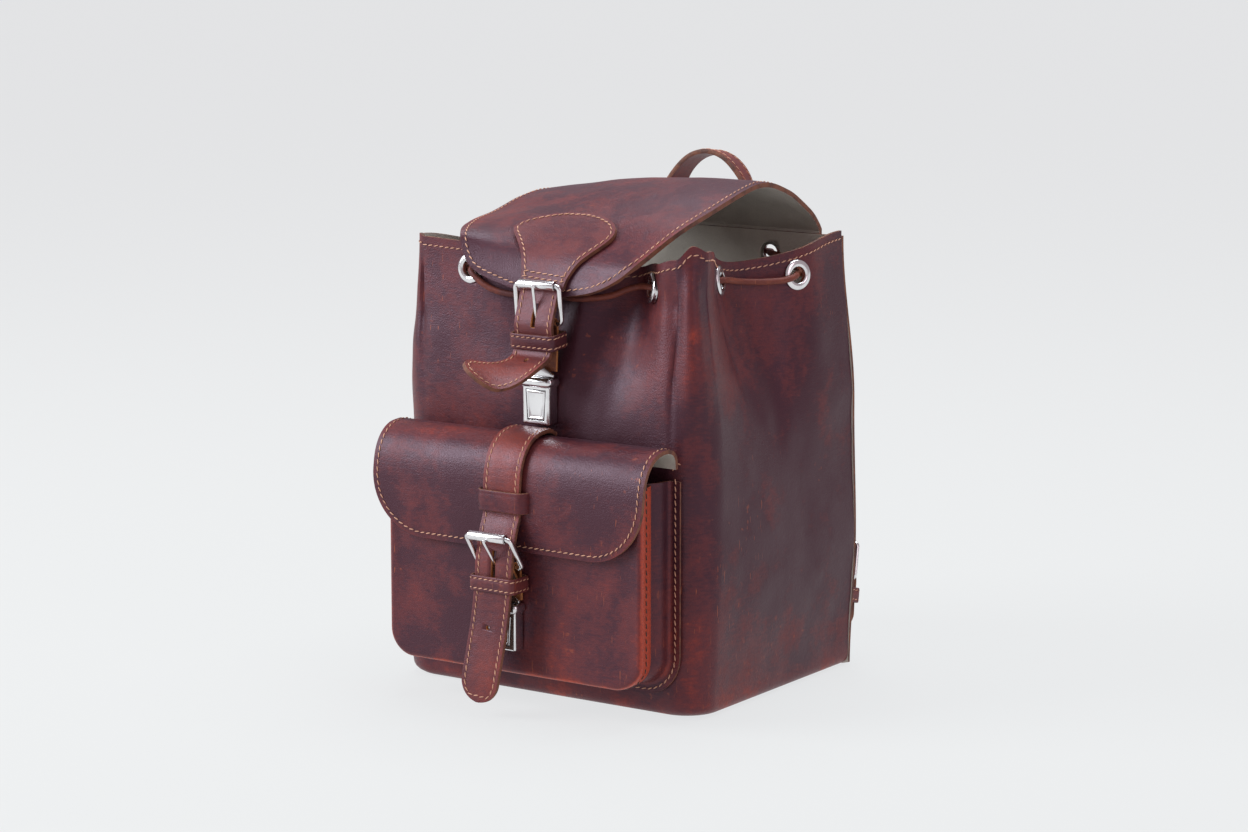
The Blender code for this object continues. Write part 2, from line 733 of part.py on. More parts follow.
def make_tab(name, buckle, end_point, body):
    """The leather tab: folded round the heel bar, its back layer running down to end_point."""
    radius = WIRE + GAP + TAB_THICK / 2
    path = [buckle.at(0, -12.5, radius)]
    path += [buckle.at(0, -6.0, radius)]
    for degrees in (0, 36, 72, 108, 144, 180):
        angle = math.radians(degrees)
        path.append(buckle.at(0, radius * math.sin(angle), radius * math.cos(angle)))
    path += [buckle.at(0, -6.0, -radius), Vector(end_point)]
    normals = []
    for before, after in zip([path[0], *path], [*path[1:], path[-1]]):
        normals.append((after - before).cross(buckle.across))
    normals[0] = normals[1]
    width = STRAP_WIDTH - 5
    tab = add_part(name, strap(path, [width] * len(path), normals, TAB_THICK), "tan_leather", body)
    slot = []
    for side in (-2.2, 2.2):
        corners = ((-5.5, -9.0), (-5.5, 9.0), (7.0, 9.0), (7.0, -9.0))
        slot.append([buckle.at(side, along, outward) for along, outward in corners])
    cut(tab, [loft(slot)])


# ------------------------------------------------------------------ main closure


PATCH_ROWS = (
    (0.575, 9.0), (0.585, 22.0), (0.605, 36.0), (0.630, 43.0), (0.655, 42.0), (0.690, 33.0),
    (0.730, 25.0), (0.780, 20.0), (0.840, 17.0), (0.900, 16.0),
)
MAIN_ROLLER = (0.0, -112.5, 301.0)
MAIN_HEEL = (0.0, -109.5, 274.0)
MAIN_TAIL = (
    (0, -116.2, 266.0), (-0.3, -116.4, 256.0), (-1.5, -120.5, 248.5), (-3.5, -136.0, 243.5),
    (-6.0, -152.0, 241.5), (-9.0, -167.0, 242.5), (-11.5, -178.0, 245.5),
)
MAIN_LOCK_TOP = 235.0


def make_main_closure():
    """Shield patch and strap, roller buckle, keeper, tab and tuck lock of the main flap."""
    buckle = Buckle("main_buckle", "flap", MAIN_ROLLER, MAIN_HEEL, (0, -1, 0))
    buckle.make()
    lift = STRAP_THICK + GAP
    grid = []
    for v, half in PATCH_ROWS:
        wide = flap_point(1, v).x
        row = []
        for k in range(-3, 4):
            u = half * k / 3 / wide
            normal = (flap_point(u, v + 0.01) - flap_point(u, v - 0.01)).cross(
                flap_point(u + 0.02, v) - flap_point(u - 0.02, v)).normalized()
            row.append(flap_point(u, v) + normal * lift)
        grid.append(row)
    behind, over = buckle.strap_points()
    middle = [behind, behind.lerp(over, 0.5), over] + [Vector(p) for p in MAIN_TAIL]
    line = smooth_path(middle, 2)
    half_thick = STRAP_THICK / 2
    widths = tip_widths(line, STRAP_WIDTH, 22.0)
    for i, point in enumerate(line):
        along = (line[min(i + 1, len(line) - 1)] - line[max(i - 1, 0)]).normalized()
        normal = along.cross((1, 0, 0)).normalized()
        outer = point + normal * half_thick
        grid.append([outer + Vector((widths[i] * k / 6, 0, 0)) for k in range(-3, 4)])
    front_strap = add_part("flap_patch_and_strap", sheet(grid, STRAP_THICK, -1), "leather", "flap")
    cut(front_strap, [buckle.prong_slot()])
    make_keeper("main_keeper", buckle.at(0, -12.0, 2.9), buckle.along, (0, -1, 0), "flap", 16.6)
    make_lock("main_lock", MAIN_LOCK_TOP, -105.0, "flap", 2.6)
    make_tab("main_tab", buckle, (0, -107.5, 239.5), "flap")


# ------------------------------------------------------------------ pocket


def pocket_outline(grow, top, steps=5):
    """The pocket's U from its left top, round the bottom, to its right top, grown outward."""
    half, low, corner = POCKET_HALF + grow, POCKET_LOW - grow, POCKET_CORNER + grow
    line = [(-half, top), (-half, (top * 2 + low) / 3), (-half, (top + low * 2) / 3)]
    for sx, start in ((-1, 180), (1, 270)):
        for k in range(steps + 1):
            angle = math.radians(start + 90 * k / steps)
            x = sx * (half - corner) + corner * math.cos(angle)
            line.append((x, low + corner + corner * math.sin(angle)))
        if sx < 0:
            line += [(0.0, low)]
    line += [(half, (top + low * 2) / 3), (half, (top * 2 + low) / 3), (half, top)]
    return line


def make_pocket():
    """The pocket's front, and its gusset with the flange that is sewn to the body."""
    front = []
    for y in (POCKET_FRONT_Y, POCKET_FRONT_Y + HIDE):
        front.append([Vector((x, y, z)) for x, z in pocket_outline(0, POCKET_TOP)])
    add_part("pocket_front", loft(front), "leather")
    back = -BASE_FRONT - 1 - GAP
    section = (
        (0.0, POCKET_FRONT_Y + HIDE + GAP), (0.0, -132.0), (0.0, -118.0), (0.0, back - HIDE - 3.0),
        (3.0, back - HIDE), (FLANGE_WIDTH, back - HIDE),
    )
    lines = [pocket_outline(grow, POCKET_TOP) for grow, _ in section]
    grid = []
    for i in range(len(lines[0])):
        grid.append([Vector((line[i][0], y, line[i][1])) for line, (_, y) in zip(lines, section)])
    add_part("pocket_gusset", sheet(grid, HIDE - 0.1, 1), "red_leather")


POCKET_FLAP_FIXED = ((-108.9, 180.5), (-109.2, 187.0), (-112.5, 192.8), (-118.0, 195.3), (-123.4, 195.8))
POCKET_FLAP_MOVING = (
    (-124.7, 195.8), (-134.0, 194.2), (-143.0, 188.8), (-149.5, 179.5), (-152.6, 167.0), (-153.6, 151.0),
    (-153.6, 140.0), (-153.3, 130.0), (-152.9, 123.0), (-152.5, 119.0), (-152.3, 117.0),
)
POCKET_FLAP_HALF = 117.0
POCKET_FLAP_LOW = 117.0
POCKET_FLAP_ROUND = 45.0
POCKET_FLAP_THICK = 3.0


def pocket_flap_half(z, moving=True):
    """Half the pocket flap's width at height z: full at the top and rounded below."""
    drop = POCKET_FLAP_LOW + POCKET_FLAP_ROUND - z
    if drop <= 0 or not moving:
        return POCKET_FLAP_HALF
    share = min(drop / POCKET_FLAP_ROUND, 1.0)
    return POCKET_FLAP_HALF - POCKET_FLAP_ROUND * (1 - math.sqrt(1 - share * share))


def make_pocket_flap():
    """The pocket's flap, the strip of it sewn to the body, and the bridge that holds the strap."""
    for name, profile, body in (
        ("pocket_flap_sewn_strip", POCKET_FLAP_FIXED, "root"),
        ("pocket_flap", POCKET_FLAP_MOVING, "pocket_flap"),
    ):
        grid = []
        for y, z in profile:
            half = pocket_flap_half(z, body != "root")
            grid.append([Vector((half * k / 5, y, z)) for k in range(-5, 6)])
        add_part(name, sheet(grid, POCKET_FLAP_THICK, -1), "leather", body)
    out = -153.6 - GAP
    over = out - STRAP_THICK - 4 * GAP
    half = STRAP_WIDTH / 2 + 1.0
    ring = ((half, out), (half, over), (-half, over), (-half, out), (-half - 4, out),
            (-half - 2.2, over - 1.2), (-half, over - 2.0), (half, over - 2.0),
            (half + 2.2, over - 1.2), (half + 4, out))
    rings = [[Vector((x, y, z)) for x, y in ring] for z in (145.0, 160.0)]
    add_part("pocket_flap_bridge", loft(rings), "leather", "pocket_flap")


POCKET_ROLLER = (0.0, -173.5, 129.5)
POCKET_HEEL = (0.0, -158.0, 106.5)
POCKET_STRAP_FIXED = ((-111.3, 195.2), (-117.3, 198.3), (-123.9, 198.9))
POCKET_STRAP_MOVING = (
    (0, -124.8, 198.9), (0, -135.0, 197.2), (0, -144.9, 191.4), (0, -152.0, 181.2), (0, -155.4, 168.0),
    (0, -156.0, 155.0), (0, -156.2, 142.0), (0, -160.0, 133.0), (0, -163.2, 121.0), (-0.2, -165.2, 110.0),
    (-0.4, -165.8, 100.0), (-0.9, -166.4, 88.0), (-2.4, -168.0, 68.0), (-4.2, -171.0, 48.0),
    (-6.2, -174.0, 28.0), (-7.8, -175.5, 10.0),
)
POCKET_LOCK_TOP = 79.5


def make_pocket_closure():
    """Strap over the pocket flap, roller buckle, keeper, tab and tuck lock."""
    fixed = [Vector((0, y, z)) for y, z in POCKET_STRAP_FIXED]
    moving = smooth_path(POCKET_STRAP_MOVING, 2)
    buckle = Buckle("pocket_buckle", "pocket_flap", POCKET_ROLLER, POCKET_HEEL, (0, -1, 0))
    buckle.make()
    for name, path, body in (
        ("pocket_strap_root", fixed, "root"),
        ("pocket_strap", moving, "pocket_flap"),
    ):
        widths = [STRAP_WIDTH] * len(path) if body == "root" else tip_widths(path, STRAP_WIDTH, 18.0)
        normals = []
        for i in range(len(path)):
            along = path[min(i + 1, len(path) - 1)] - path[max(i - 1, 0)]
            normals.append(along.cross((1, 0, 0)))
        piece = add_part(name, strap(path, widths, normals, STRAP_THICK), "leather", body)
        if body != "root":
            cut(piece, [buckle.prong_slot()])
    make_keeper("pocket_keeper", (-0.5, -159.2, 94.5), (0, 0, 1), (0, -1, 0), "pocket_flap", 18.4)
    make_lock("pocket_lock", POCKET_LOCK_TOP, POCKET_FRONT_Y, "pocket_flap", 0.0)
    make_tab("pocket_tab", buckle, (0, -150.6, 82.0), "pocket_flap")


# ------------------------------------------------------------------ back: yoke, handle, shoulder straps


def make_yoke():
    """The shield-shaped patch that the handle and the shoulder straps are sewn under."""
    outline = ((-56, YOKE_TOP), (-58, 284), (-58, 252), (-54, YOKE_LOW), (54, YOKE_LOW), (58, 252),
               (58, 284), (56, YOKE_TOP))
    rings = [[Vector((x, y, z)) for x, z in outline] for y in (BACK_Y + GAP, BACK_Y + GAP + 3.0)]
    add_part("yoke_patch", loft(rings), "leather")


def make_handle():
    """The carry handle: a strap whose ends lie flat on the back, turning on edge over the top."""
    side = ((-37.5, 113.8, 298.0), (-38.5, 114.0, 314.0), (-37.6, 114.6, 332.0), (-33.5, 115.4, 350.0),
            (-25.0, 116.0, 364.0), (-13.5, 116.4, 373.5), (0.0, 116.6, 376.8))
    points = list(side) + [(-x, y, z) for x, y, z in reversed(side[:-1])]
    path = smooth_path(points, 2)
    normals = []
    for i, point in enumerate(path):
        along = (path[min(i + 1, len(path) - 1)] - path[max(i - 1, 0)]).normalized()
        rise = min(max((point.z - 298.0) / (HANDLE_TOP - 308.0), 0.0), 1.0)
        share = rise * rise * (3 - 2 * rise) * 0.88
        outward = Vector((0, 1, 0)).cross(along) * -1
        normals.append(Vector((0, 1, 0)) * (1 - share) + outward * share)
    widths = [HANDLE_WIDTH] * len(path)
    add_part("carry_handle", strap(path, widths, normals, HANDLE_THICK), "leather", "handle")


SHOULDER_PATH = (
    (39.2, 112.8, 235.0), (43.0, 119.0, 221.0), (52.0, 131.0, 200.0), (64.0, 141.5, 174.0),
    (77.0, 145.5, 146.0), (89.5, 137.5, 119.0), (97.0, 128.8, 104.0), (101.5, 124.2, 94.5),
)
SHOULDER_ROLLER = (104.5, 128.3, 86.0)
SHOULDER_HEEL = (106.5, 120.8, 60.0)
SHOULDER_TAIL = ((107.4, 124.7, 46.5), (108.4, 122.0, 34.0), (109.2, 120.3, 20.0))
SHOULDER_WIDTH = 32.0


def mirrored(points, sign):
    """The points with their x turned over for the left side."""
    return [Vector((x * sign, y, z)) for x, y, z in points]


def make_shoulder_strap(side, sign):
    """One shoulder strap with its roller buckle, keeper and tab, and the patch it is anchored by."""
    name = "shoulder_" + side
    add_body(name, (SHOULDER_AXIS[0] * sign, *SHOULDER_AXIS[1:]))
    roller, heel = mirrored((SHOULDER_ROLLER, SHOULDER_HEEL), sign)
    buckle = Buckle(name + "_buckle", name, roller, heel, (0, 1, 0))
    buckle.make()
    behind, over = buckle.strap_points()
    points = mirrored(SHOULDER_PATH, sign) + [behind, behind.lerp(over, 0.5), over]
    points += mirrored(SHOULDER_TAIL, sign)
    path = smooth_path(points, 2)
    normals = []
    for i in range(len(path)):
        along = path[min(i + 1, len(path) - 1)] - path[max(i - 1, 0)]
        normals.append(Vector((0, 1, 0)) - along * along.y / along.length_squared)
    widths = tip_widths(path, SHOULDER_WIDTH, 16.0)
    piece = add_part(name + "_strap", strap(path, widths, normals, STRAP_THICK), "leather", name)
    cut(piece, [buckle.prong_slot()])
    make_keeper(name + "_keeper", buckle.at(0, -12.0, 2.2), buckle.along, (0, 1, 0), name, 14.8)
    make_tab(name + "_tab", buckle, buckle.at(0, -22.0, -3.6), name)
    outline = ((94, 12), (124, 12), (124, 30), (119, 37.2), (97, 37.2), (94, 30))
    rings = [[Vector((x * sign, y, z)) for x, z in outline] for y in (BACK_Y + GAP, BACK_Y + GAP + 3.0)]
    add_part(name + "_anchor", loft(rings), "leather")


# ------------------------------------------------------------------ assembly


def main():
    """Builds every sub-part."""
    clear_scene()
    add_body("root", (0, 0, 0))
    add_body("flap", FLAP_HINGE)
    add_body("handle", HANDLE_HINGE)
    add_body("pocket_flap", POCKET_HINGE)
    make_body()
    make_back_panel()
    make_base()
    make_eyelets()
    make_drawstring()
    make_main_flap()
    make_main_closure()
    make_pocket()
    make_pocket_flap()
    make_pocket_closure()
    make_yoke()
    make_handle()
    make_shoulder_strap("right", 1)
    make_shoulder_strap("left", -1)


main()
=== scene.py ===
"""Leather drawstring backpack: the visual layer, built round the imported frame.

Shapes are worked out in millimetres in the frame's own axes (+Z up, the front faces -Y, +X is the
right side seen from the front) and become metres when a mesh is made.
"""

from __future__ import annotations

import logging
import math
import sys
from collections.abc import Callable, Sequence
from dataclasses import dataclass, field
from enum import Enum, auto

import bmesh
import bpy
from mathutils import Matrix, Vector, noise


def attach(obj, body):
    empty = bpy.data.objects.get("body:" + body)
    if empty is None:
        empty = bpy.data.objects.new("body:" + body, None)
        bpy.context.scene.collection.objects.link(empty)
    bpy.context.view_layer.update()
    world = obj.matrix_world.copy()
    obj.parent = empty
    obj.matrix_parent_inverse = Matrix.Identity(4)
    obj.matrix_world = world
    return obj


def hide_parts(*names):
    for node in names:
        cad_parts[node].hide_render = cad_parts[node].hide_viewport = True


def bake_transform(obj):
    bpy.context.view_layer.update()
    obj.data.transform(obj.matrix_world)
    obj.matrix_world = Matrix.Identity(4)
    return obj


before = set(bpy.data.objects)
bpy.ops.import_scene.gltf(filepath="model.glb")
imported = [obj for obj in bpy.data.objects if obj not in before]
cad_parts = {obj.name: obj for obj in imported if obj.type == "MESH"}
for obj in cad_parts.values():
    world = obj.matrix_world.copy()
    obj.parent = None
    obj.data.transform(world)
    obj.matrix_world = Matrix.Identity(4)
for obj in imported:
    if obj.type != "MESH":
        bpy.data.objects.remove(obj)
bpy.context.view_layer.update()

LOG = logging.getLogger("backpack")
MM = 0.001
STRAP_TIP = 16.0  # length of a rounded strap end
LEAST_TIP = 0.12  # share of the width left at its very end
CREASE = 60.0  # degrees; round metal and lace stay smooth below this
UP = Vector((0.0, 0.0, 1.0))
FRONT = Vector((0.0, -1.0, 0.0))
REAR = Vector((0.0, 1.0, 0.0))

Colour = tuple[float, float, float]
Spot = tuple[float, float, float]
Knots = tuple[tuple[float, float], ...]
Bend = tuple[str, str, Sequence[float], Sequence[float]]
Outline = list[tuple[float, float, float, float]]
Path = Sequence[Vector]
Mesh = bmesh.types.BMesh
Piece = bpy.types.Object
Socket = bpy.types.NodeSocket


# --- shader building


def feed(tree: bpy.types.NodeTree, node: bpy.types.Node, inputs: dict) -> None:
    """Links or sets some of a node's inputs.

    Args:
        tree: The tree that holds the node.
        node: The node.
        inputs: A Number, a socket or a plain value for each socket name or number.
    """
    for key, value in inputs.items():
        if isinstance(value, Number):
            value = value.socket
        if isinstance(value, Socket):
            tree.links.new(value, node.inputs[key])
        else:
            node.inputs[key].default_value = value


def add_node(tree: bpy.types.NodeTree, kind: str, settings: dict | None = None,
             inputs: dict | None = None) -> bpy.types.Node:
    """Adds a node to a tree.

    Args:
        tree: The tree.
        kind: The node's type.
        settings: Its own properties, set first.
        inputs: Its socket values or links, by socket name or number.

    Returns:
        The node.
    """
    node = tree.nodes.new(kind)
    for key, value in (settings or {}).items():
        setattr(node, key, value)
    feed(tree, node, inputs or {})
    return node


class Number:
    """A number socket; arithmetic on it adds Math nodes to its tree."""

    def __init__(self, tree: bpy.types.NodeTree, socket: Socket) -> None:
        """Wraps one output socket."""
        self.tree = tree
        self.socket = socket

    def _math(self, operation: str, *terms: Number | float) -> Number:
        """The result of a Math node on some sockets or plain numbers."""
        node = add_node(self.tree, "ShaderNodeMath", {"operation": operation}, dict(enumerate(terms)))
        return Number(self.tree, node.outputs[0])

    def __add__(self, other: Number | float) -> Number:
        """self + other."""
        return self._math("ADD", self, other)

    def __sub__(self, other: Number | float) -> Number:
        """self - other."""
        return self._math("SUBTRACT", self, other)

    def __mul__(self, other: Number | float) -> Number:
        """self * other."""
        return self._math("MULTIPLY", self, other)

    def __gt__(self, other: float) -> Number:
        """1 where self is above other."""
        return self._math("GREATER_THAN", self, other)

    def clamped(self) -> Number:
        """The value held between 0 and 1."""
        return self._math("MINIMUM", self._math("MAXIMUM", self, 0.0), 1.0)

    def ramp(self, low: float, high: float) -> Number:
        """A smooth step from 0 at low to 1 at high."""
        node = add_node(self.tree, "ShaderNodeMapRange", {"interpolation_type": "SMOOTHSTEP"},
                        {"Value": self, "From Min": low, "From Max": high})
        return Number(self.tree, node.outputs["Result"])


class Surface:
    """One material and the nodes behind its Principled shader."""

    def __init__(self, name: str) -> None:
        """Makes the material with its Principled shader."""
        self.material = bpy.data.materials.new(name)
        self.material.use_nodes = True
        self.tree = self.material.node_tree
        self.shader = self.tree.nodes["Principled BSDF"]
        self.place = add_node(self.tree, "ShaderNodeTexCoord").outputs["Object"]

    def stretched(self, scale: Spot) -> Socket:
        """Object coordinates scaled along each axis."""
        mapping = add_node(self.tree, "ShaderNodeMapping", None, {"Vector": self.place, "Scale": scale})
        return mapping.outputs["Vector"]

    def noise(self, scale: float, detail: float = 2.0, rough: float = 0.5,
              where: Socket | None = None) -> Number:
        """Noise over the surface.

        Args:
            scale: Features per metre, or per stretched unit.
            detail: Octaves.
            rough: Weight of the finer octaves.
            where: Coordinates, or None for plain object ones.

        Returns:
            The noise value, about 0.5 on average.
        """
        node = add_node(self.tree, "ShaderNodeTexNoise", None, {
            "Vector": where or self.place, "Scale": scale, "Detail": detail, "Roughness": rough})
        return Number(self.tree, node.outputs["Fac"])

    def cells(self, scale: float) -> Number:
        """Distance to the nearest cell centre."""
        node = add_node(self.tree, "ShaderNodeTexVoronoi", {"feature": "F1"},
                        {"Vector": self.place, "Scale": scale})
        return Number(self.tree, node.outputs["Distance"])

    def attribute(self, name: str) -> Number:
        """A number stored on the mesh, 0 where it has none."""
        node = add_node(self.tree, "ShaderNodeAttribute", {"attribute_name": name})
        return Number(self.tree, node.outputs["Fac"])

    def blend(self, share: Number, low: Colour | Socket, high: Colour | Socket) -> Socket:
        """A colour between two, by a share from 0 to 1."""
        low, high = (value if isinstance(value, Socket) else (*value, 1.0) for value in (low, high))
        node = add_node(self.tree, "ShaderNodeMix", {"data_type": "RGBA"}, {0: share, 6: low, 7: high})
        return node.outputs[2]

    def finish(self, colour: Socket | Colour, rough: Number | float, height: Number | None = None,
               depth: float = 0.0, **fixed: float) -> bpy.types.Material:
        """Connects the shader.

        Args:
            colour: Base colour, linked or plain.
            rough: Roughness, linked or plain.
            height: Relief from 0 to 1, or None for a smooth surface.
            depth: Height of the relief in metres.
            fixed: Other Principled inputs, with _ for a space.

        Returns:
            The material.
        """
        inputs = {key.replace("_", " "): value for key, value in fixed.items()}
        inputs["Base Color"] = colour if isinstance(colour, Socket) else (*colour, 1.0)
        inputs["Roughness"] = rough
        if height is not None:
            relief = add_node(self.tree, "ShaderNodeBump", None,
                              {"Height": height, "Distance": depth, "Strength": 1.0})
            inputs["Normal"] = relief.outputs["Normal"]
        feed(self.tree, self.shader, inputs)
        return self.material


# --- finishes


@dataclass(frozen=True)
class PullUpLeather:
    """Oiled leather whose colour lightens to red where it is bent or handled."""

    name: str
    dark: Colour
    mid: Colour
    warm: Colour
    bright: Colour
    spark: Colour
    warmth: float = 0.0
    rough: float = 0.40

    def material(self) -> bpy.types.Material:
        """Mottled colour, fine pores, creases and short scratches."""
        s = Surface(self.name)
        cloud = s.noise(9.0, 3.0, 0.55).ramp(0.36, 0.68)
        patch = s.noise(38.0, 4.0, 0.6).ramp(0.42, 0.70)
        crinkle = s.noise(1.0, 3.0, 0.65, s.stretched((170.0, 170.0, 620.0)))
        speck = s.noise(420.0, 3.0, 0.7)
        bend = s.attribute("bend")
        rim = s.attribute("rim")
        warm = (cloud * 0.52 + patch * 0.30 + bend * 0.62 + rim * 0.12 + (self.warmth - 0.16)
                + (crinkle - 0.5) * 0.8 + (s.noise(150.0, 2.0, 0.6) - 0.5) * 0.5).clamped()
        base = s.blend(warm.ramp(0.0, 0.5), self.dark, self.mid)
        base = s.blend(warm.ramp(0.45, 1.05), base, self.warm)
        base = s.blend((bend + (patch - 0.5) * 0.35).ramp(0.72, 1.12), base, self.bright)
        streak = s.noise(1.0, 1.0, 0.4, s.stretched((760.0, 760.0, 70.0)))
        nick = (streak > 0.735) * s.noise(7.0).ramp(0.50, 0.62)
        scuff = (s.noise(150.0, 2.0, 0.6) > 0.695) * s.noise(13.0, 1.0).ramp(0.54, 0.66)
        base = s.blend((nick * 0.75 + scuff * 0.35).clamped(), base, self.spark)
        base = s.blend((speck.ramp(0.35, 0.75) * 0.35).clamped(), base, self.dark)
        pores = s.cells(1150.0)
        relief = pores * 0.5 + crinkle * 0.55 + speck * 0.25 + s.noise(70.0, 2.0) * 0.9
        rough = patch * 0.10 + speck * 0.12 + (self.rough - 0.06) + rim * 0.08
        return s.finish(base, rough, relief, 0.00024, Specular_IOR_Level=0.38, Coat_Weight=0.04,
                        Coat_Roughness=0.25, Specular_Tint=(1.0, 0.74, 0.93, 1.0))


@dataclass(frozen=True)
class TwoTone:
    """A finish that wanders between a light and a dark tone."""

    name: str
    light: Colour
    dark: Colour


class CutEdge(TwoTone):
    """The raw cut edge of leather, fibrous and unevenly dyed."""

    def material(self) -> bpy.types.Material:
        """Layered fibres with darker stretches."""
        s = Surface(self.name)
        fibre = s.noise(900.0, 3.0, 0.7)
        stretch = s.noise(120.0, 3.0, 0.6).ramp(0.40, 0.66)
        colour = s.blend((stretch * 0.7 + fibre * 0.5 - 0.15).clamped(), self.light, self.dark)
        return s.finish(colour, fibre * 0.2 + 0.60, fibre + stretch * 0.5, 0.00035)


class Suede(TwoTone):
    """The flesh side or a pale pigskin lining."""

    def material(self) -> bpy.types.Material:
        """Soft nap with faint streaks."""
        s = Surface(self.name)
        nap = s.noise(700.0, 3.0, 0.7)
        cloud = s.noise(24.0, 3.0, 0.6).ramp(0.35, 0.68)
        colour = s.blend((cloud * 0.6 + nap * 0.5 - 0.2).clamped(), self.light, self.dark)
        return s.finish(colour, 0.88, nap + s.cells(900.0) * 0.4, 0.0003, Sheen_Weight=0.12)


class Thread(TwoTone):
    """Waxed sewing thread."""

    def material(self) -> bpy.types.Material:
        """Twisted ply seen as fine slanted bands."""
        s = Surface(self.name)
        ply = s.noise(1600.0, 1.0)
        tone = s.noise(60.0, 2.0).ramp(0.36, 0.66)
        colour = s.blend((ply * 0.6 + tone * 0.5 - 0.2).clamped(), self.light, self.dark)
        return s.finish(colour, 0.55, ply, 0.00016)


@dataclass(frozen=True)
class Plate(TwoTone):
    """Polished plated metal with faint handling marks."""

    rough: float = 0.17

    def material(self) -> bpy.types.Material:
        """Bright metal whose gloss varies a little."""
        s = Surface(self.name)
        smear = s.noise(90.0, 3.0, 0.6)
        hair = s.noise(1.0, 2.0, 0.6, s.stretched((300.0, 300.0, 2600.0)))
        colour = s.blend(smear.ramp(0.45, 0.75), self.light, self.dark)
        rough = smear * 0.10 + hair * 0.05 + (self.rough - 0.07)
        return s.finish(colour, rough, smear * 0.4 + hair * 0.2, 0.00003, Metallic=1.0)


@dataclass(frozen=True)
class Paper:
    """The plain studio floor."""

    name: str
    colour: Colour
    glow: float = 0.735

    def material(self) -> bpy.types.Material:
        """An even matt surface that glows softly, as a lit studio sweep does."""
        return Surface(self.name).finish(self.colour, 0.9, Emission_Color=(0.97, 0.985, 1.0, 1.0),
                                         Emission_Strength=self.glow)


class Finish(Enum):
    """Every finish of the bag."""

    HIDE = auto()
    STRAP = auto()
    WARM = auto()
    TAB = auto()
    LACE = auto()
    EDGE = auto()
    TAN_EDGE = auto()
    LINING = auto()
    FLESH = auto()
    THREAD = auto()
    DARK_THREAD = auto()
    NICKEL = auto()


RECIPES = {
    Finish.HIDE: PullUpLeather(
        "oiled_hide", (0.046, 0.012, 0.018), (0.104, 0.020, 0.020), (0.205, 0.029, 0.017),
        (0.420, 0.055, 0.020), (0.330, 0.080, 0.030)),
    Finish.STRAP: PullUpLeather(
        "oiled_strap", (0.066, 0.018, 0.022), (0.122, 0.027, 0.024), (0.205, 0.036, 0.022),
        (0.380, 0.070, 0.030), (0.340, 0.090, 0.035), 0.14),
    Finish.WARM: PullUpLeather(
        "stretched_hide", (0.100, 0.018, 0.015), (0.200, 0.027, 0.016), (0.300, 0.040, 0.018),
        (0.420, 0.060, 0.022), (0.400, 0.110, 0.040), 0.10),
    Finish.TAB: PullUpLeather(
        "tab_hide", (0.110, 0.034, 0.020), (0.190, 0.062, 0.024), (0.330, 0.120, 0.035),
        (0.420, 0.160, 0.045), (0.450, 0.180, 0.050), 0.30, 0.55),
    Finish.LACE: PullUpLeather(
        "lace_leather", (0.080, 0.022, 0.016), (0.160, 0.038, 0.020), (0.260, 0.070, 0.030),
        (0.340, 0.100, 0.040), (0.380, 0.120, 0.050), 0.22, 0.58),
    Finish.EDGE: CutEdge("raw_edge", (0.200, 0.068, 0.034), (0.060, 0.020, 0.016)),
    Finish.TAN_EDGE: CutEdge("tan_raw_edge", (0.420, 0.160, 0.040), (0.200, 0.060, 0.022)),
    Finish.LINING: Suede("pale_lining", (0.560, 0.510, 0.450), (0.380, 0.335, 0.290)),
    Finish.FLESH: Suede("flesh_side", (0.150, 0.075, 0.050), (0.080, 0.036, 0.026)),
    Finish.THREAD: Thread("light_thread", (0.620, 0.330, 0.215), (0.380, 0.175, 0.105)),
    Finish.DARK_THREAD: Thread("dark_thread", (0.050, 0.020, 0.018), (0.020, 0.010, 0.010)),
    Finish.NICKEL: Plate("nickel_plate", (0.80, 0.79, 0.80), (0.66, 0.65, 0.67)),
}


# --- curves and sheets


def through(knots: Sequence[tuple[float, float]], t: float) -> float:
    """A smooth value at t, through (position, value) knots."""
    if t <= knots[0][0]:
        return knots[0][1]
    for (a, low), (b, high) in zip(knots, knots[1:]):
        if t <= b:
            s = (t - a) / (b - a)
            return low + (high - low) * s * s * (3 - 2 * s)
    return knots[-1][1]


def bump(offset: float, half_span: float) -> float:
    """1 at the middle of a fold and 0 past its half span."""
    if abs(offset) >= half_span:
        return 0.0
    return math.cos(math.pi / 2 * offset / half_span) ** 2


def catmull(four: Path, t: float) -> Vector:
    """A point between the second and third of four, on a smooth curve."""
    a, b, c, d = four
    return 0.5 * ((b * 2) + (c - a) * t + (a * 2 - b * 5 + c * 4 - d) * t**2
                  + (b * 3 - a - c * 3 + d) * t**3)


def smooth_path(points: Sequence[Sequence[float]], steps: int) -> list[Vector]:
    """Points of a smooth curve through the given ones.

    Args:
        points: The knots.
        steps: Points for each stretch between two knots.

    Returns:
        The curve's points, ends included.
    """
    knots = [Vector(p) for p in points]
    ends = [knots[0] * 2 - knots[1], *knots, knots[-1] * 2 - knots[-2]]
    path = []
    for four in zip(ends, ends[1:], ends[2:], ends[3:]):
        path += [catmull(four, k / steps) for k in range(steps)]
    return path + [knots[-1]]


def reach_along(path: Path) -> list[float]:
    """Distance from the start at each point of a path."""
    reach = [0.0]
    for a, b in zip(path, path[1:]):
        reach.append(reach[-1] + (b - a).length)
    return reach


def even_path(path: Path, spacing: float) -> list[Vector]:
    """The path with evenly spaced points."""
    reach = reach_along(path)
    count = max(int(round(reach[-1] / spacing)), 2)
    even, at = [], 0
    for k in range(count + 1):
        goal = reach[-1] * k / count
        while at < len(path) - 2 and reach[at + 1] < goal:
            at += 1
        span = max(reach[at + 1] - reach[at], 1e-9)
        even.append(path[at].lerp(path[at + 1], (goal - reach[at]) / span))
    return even


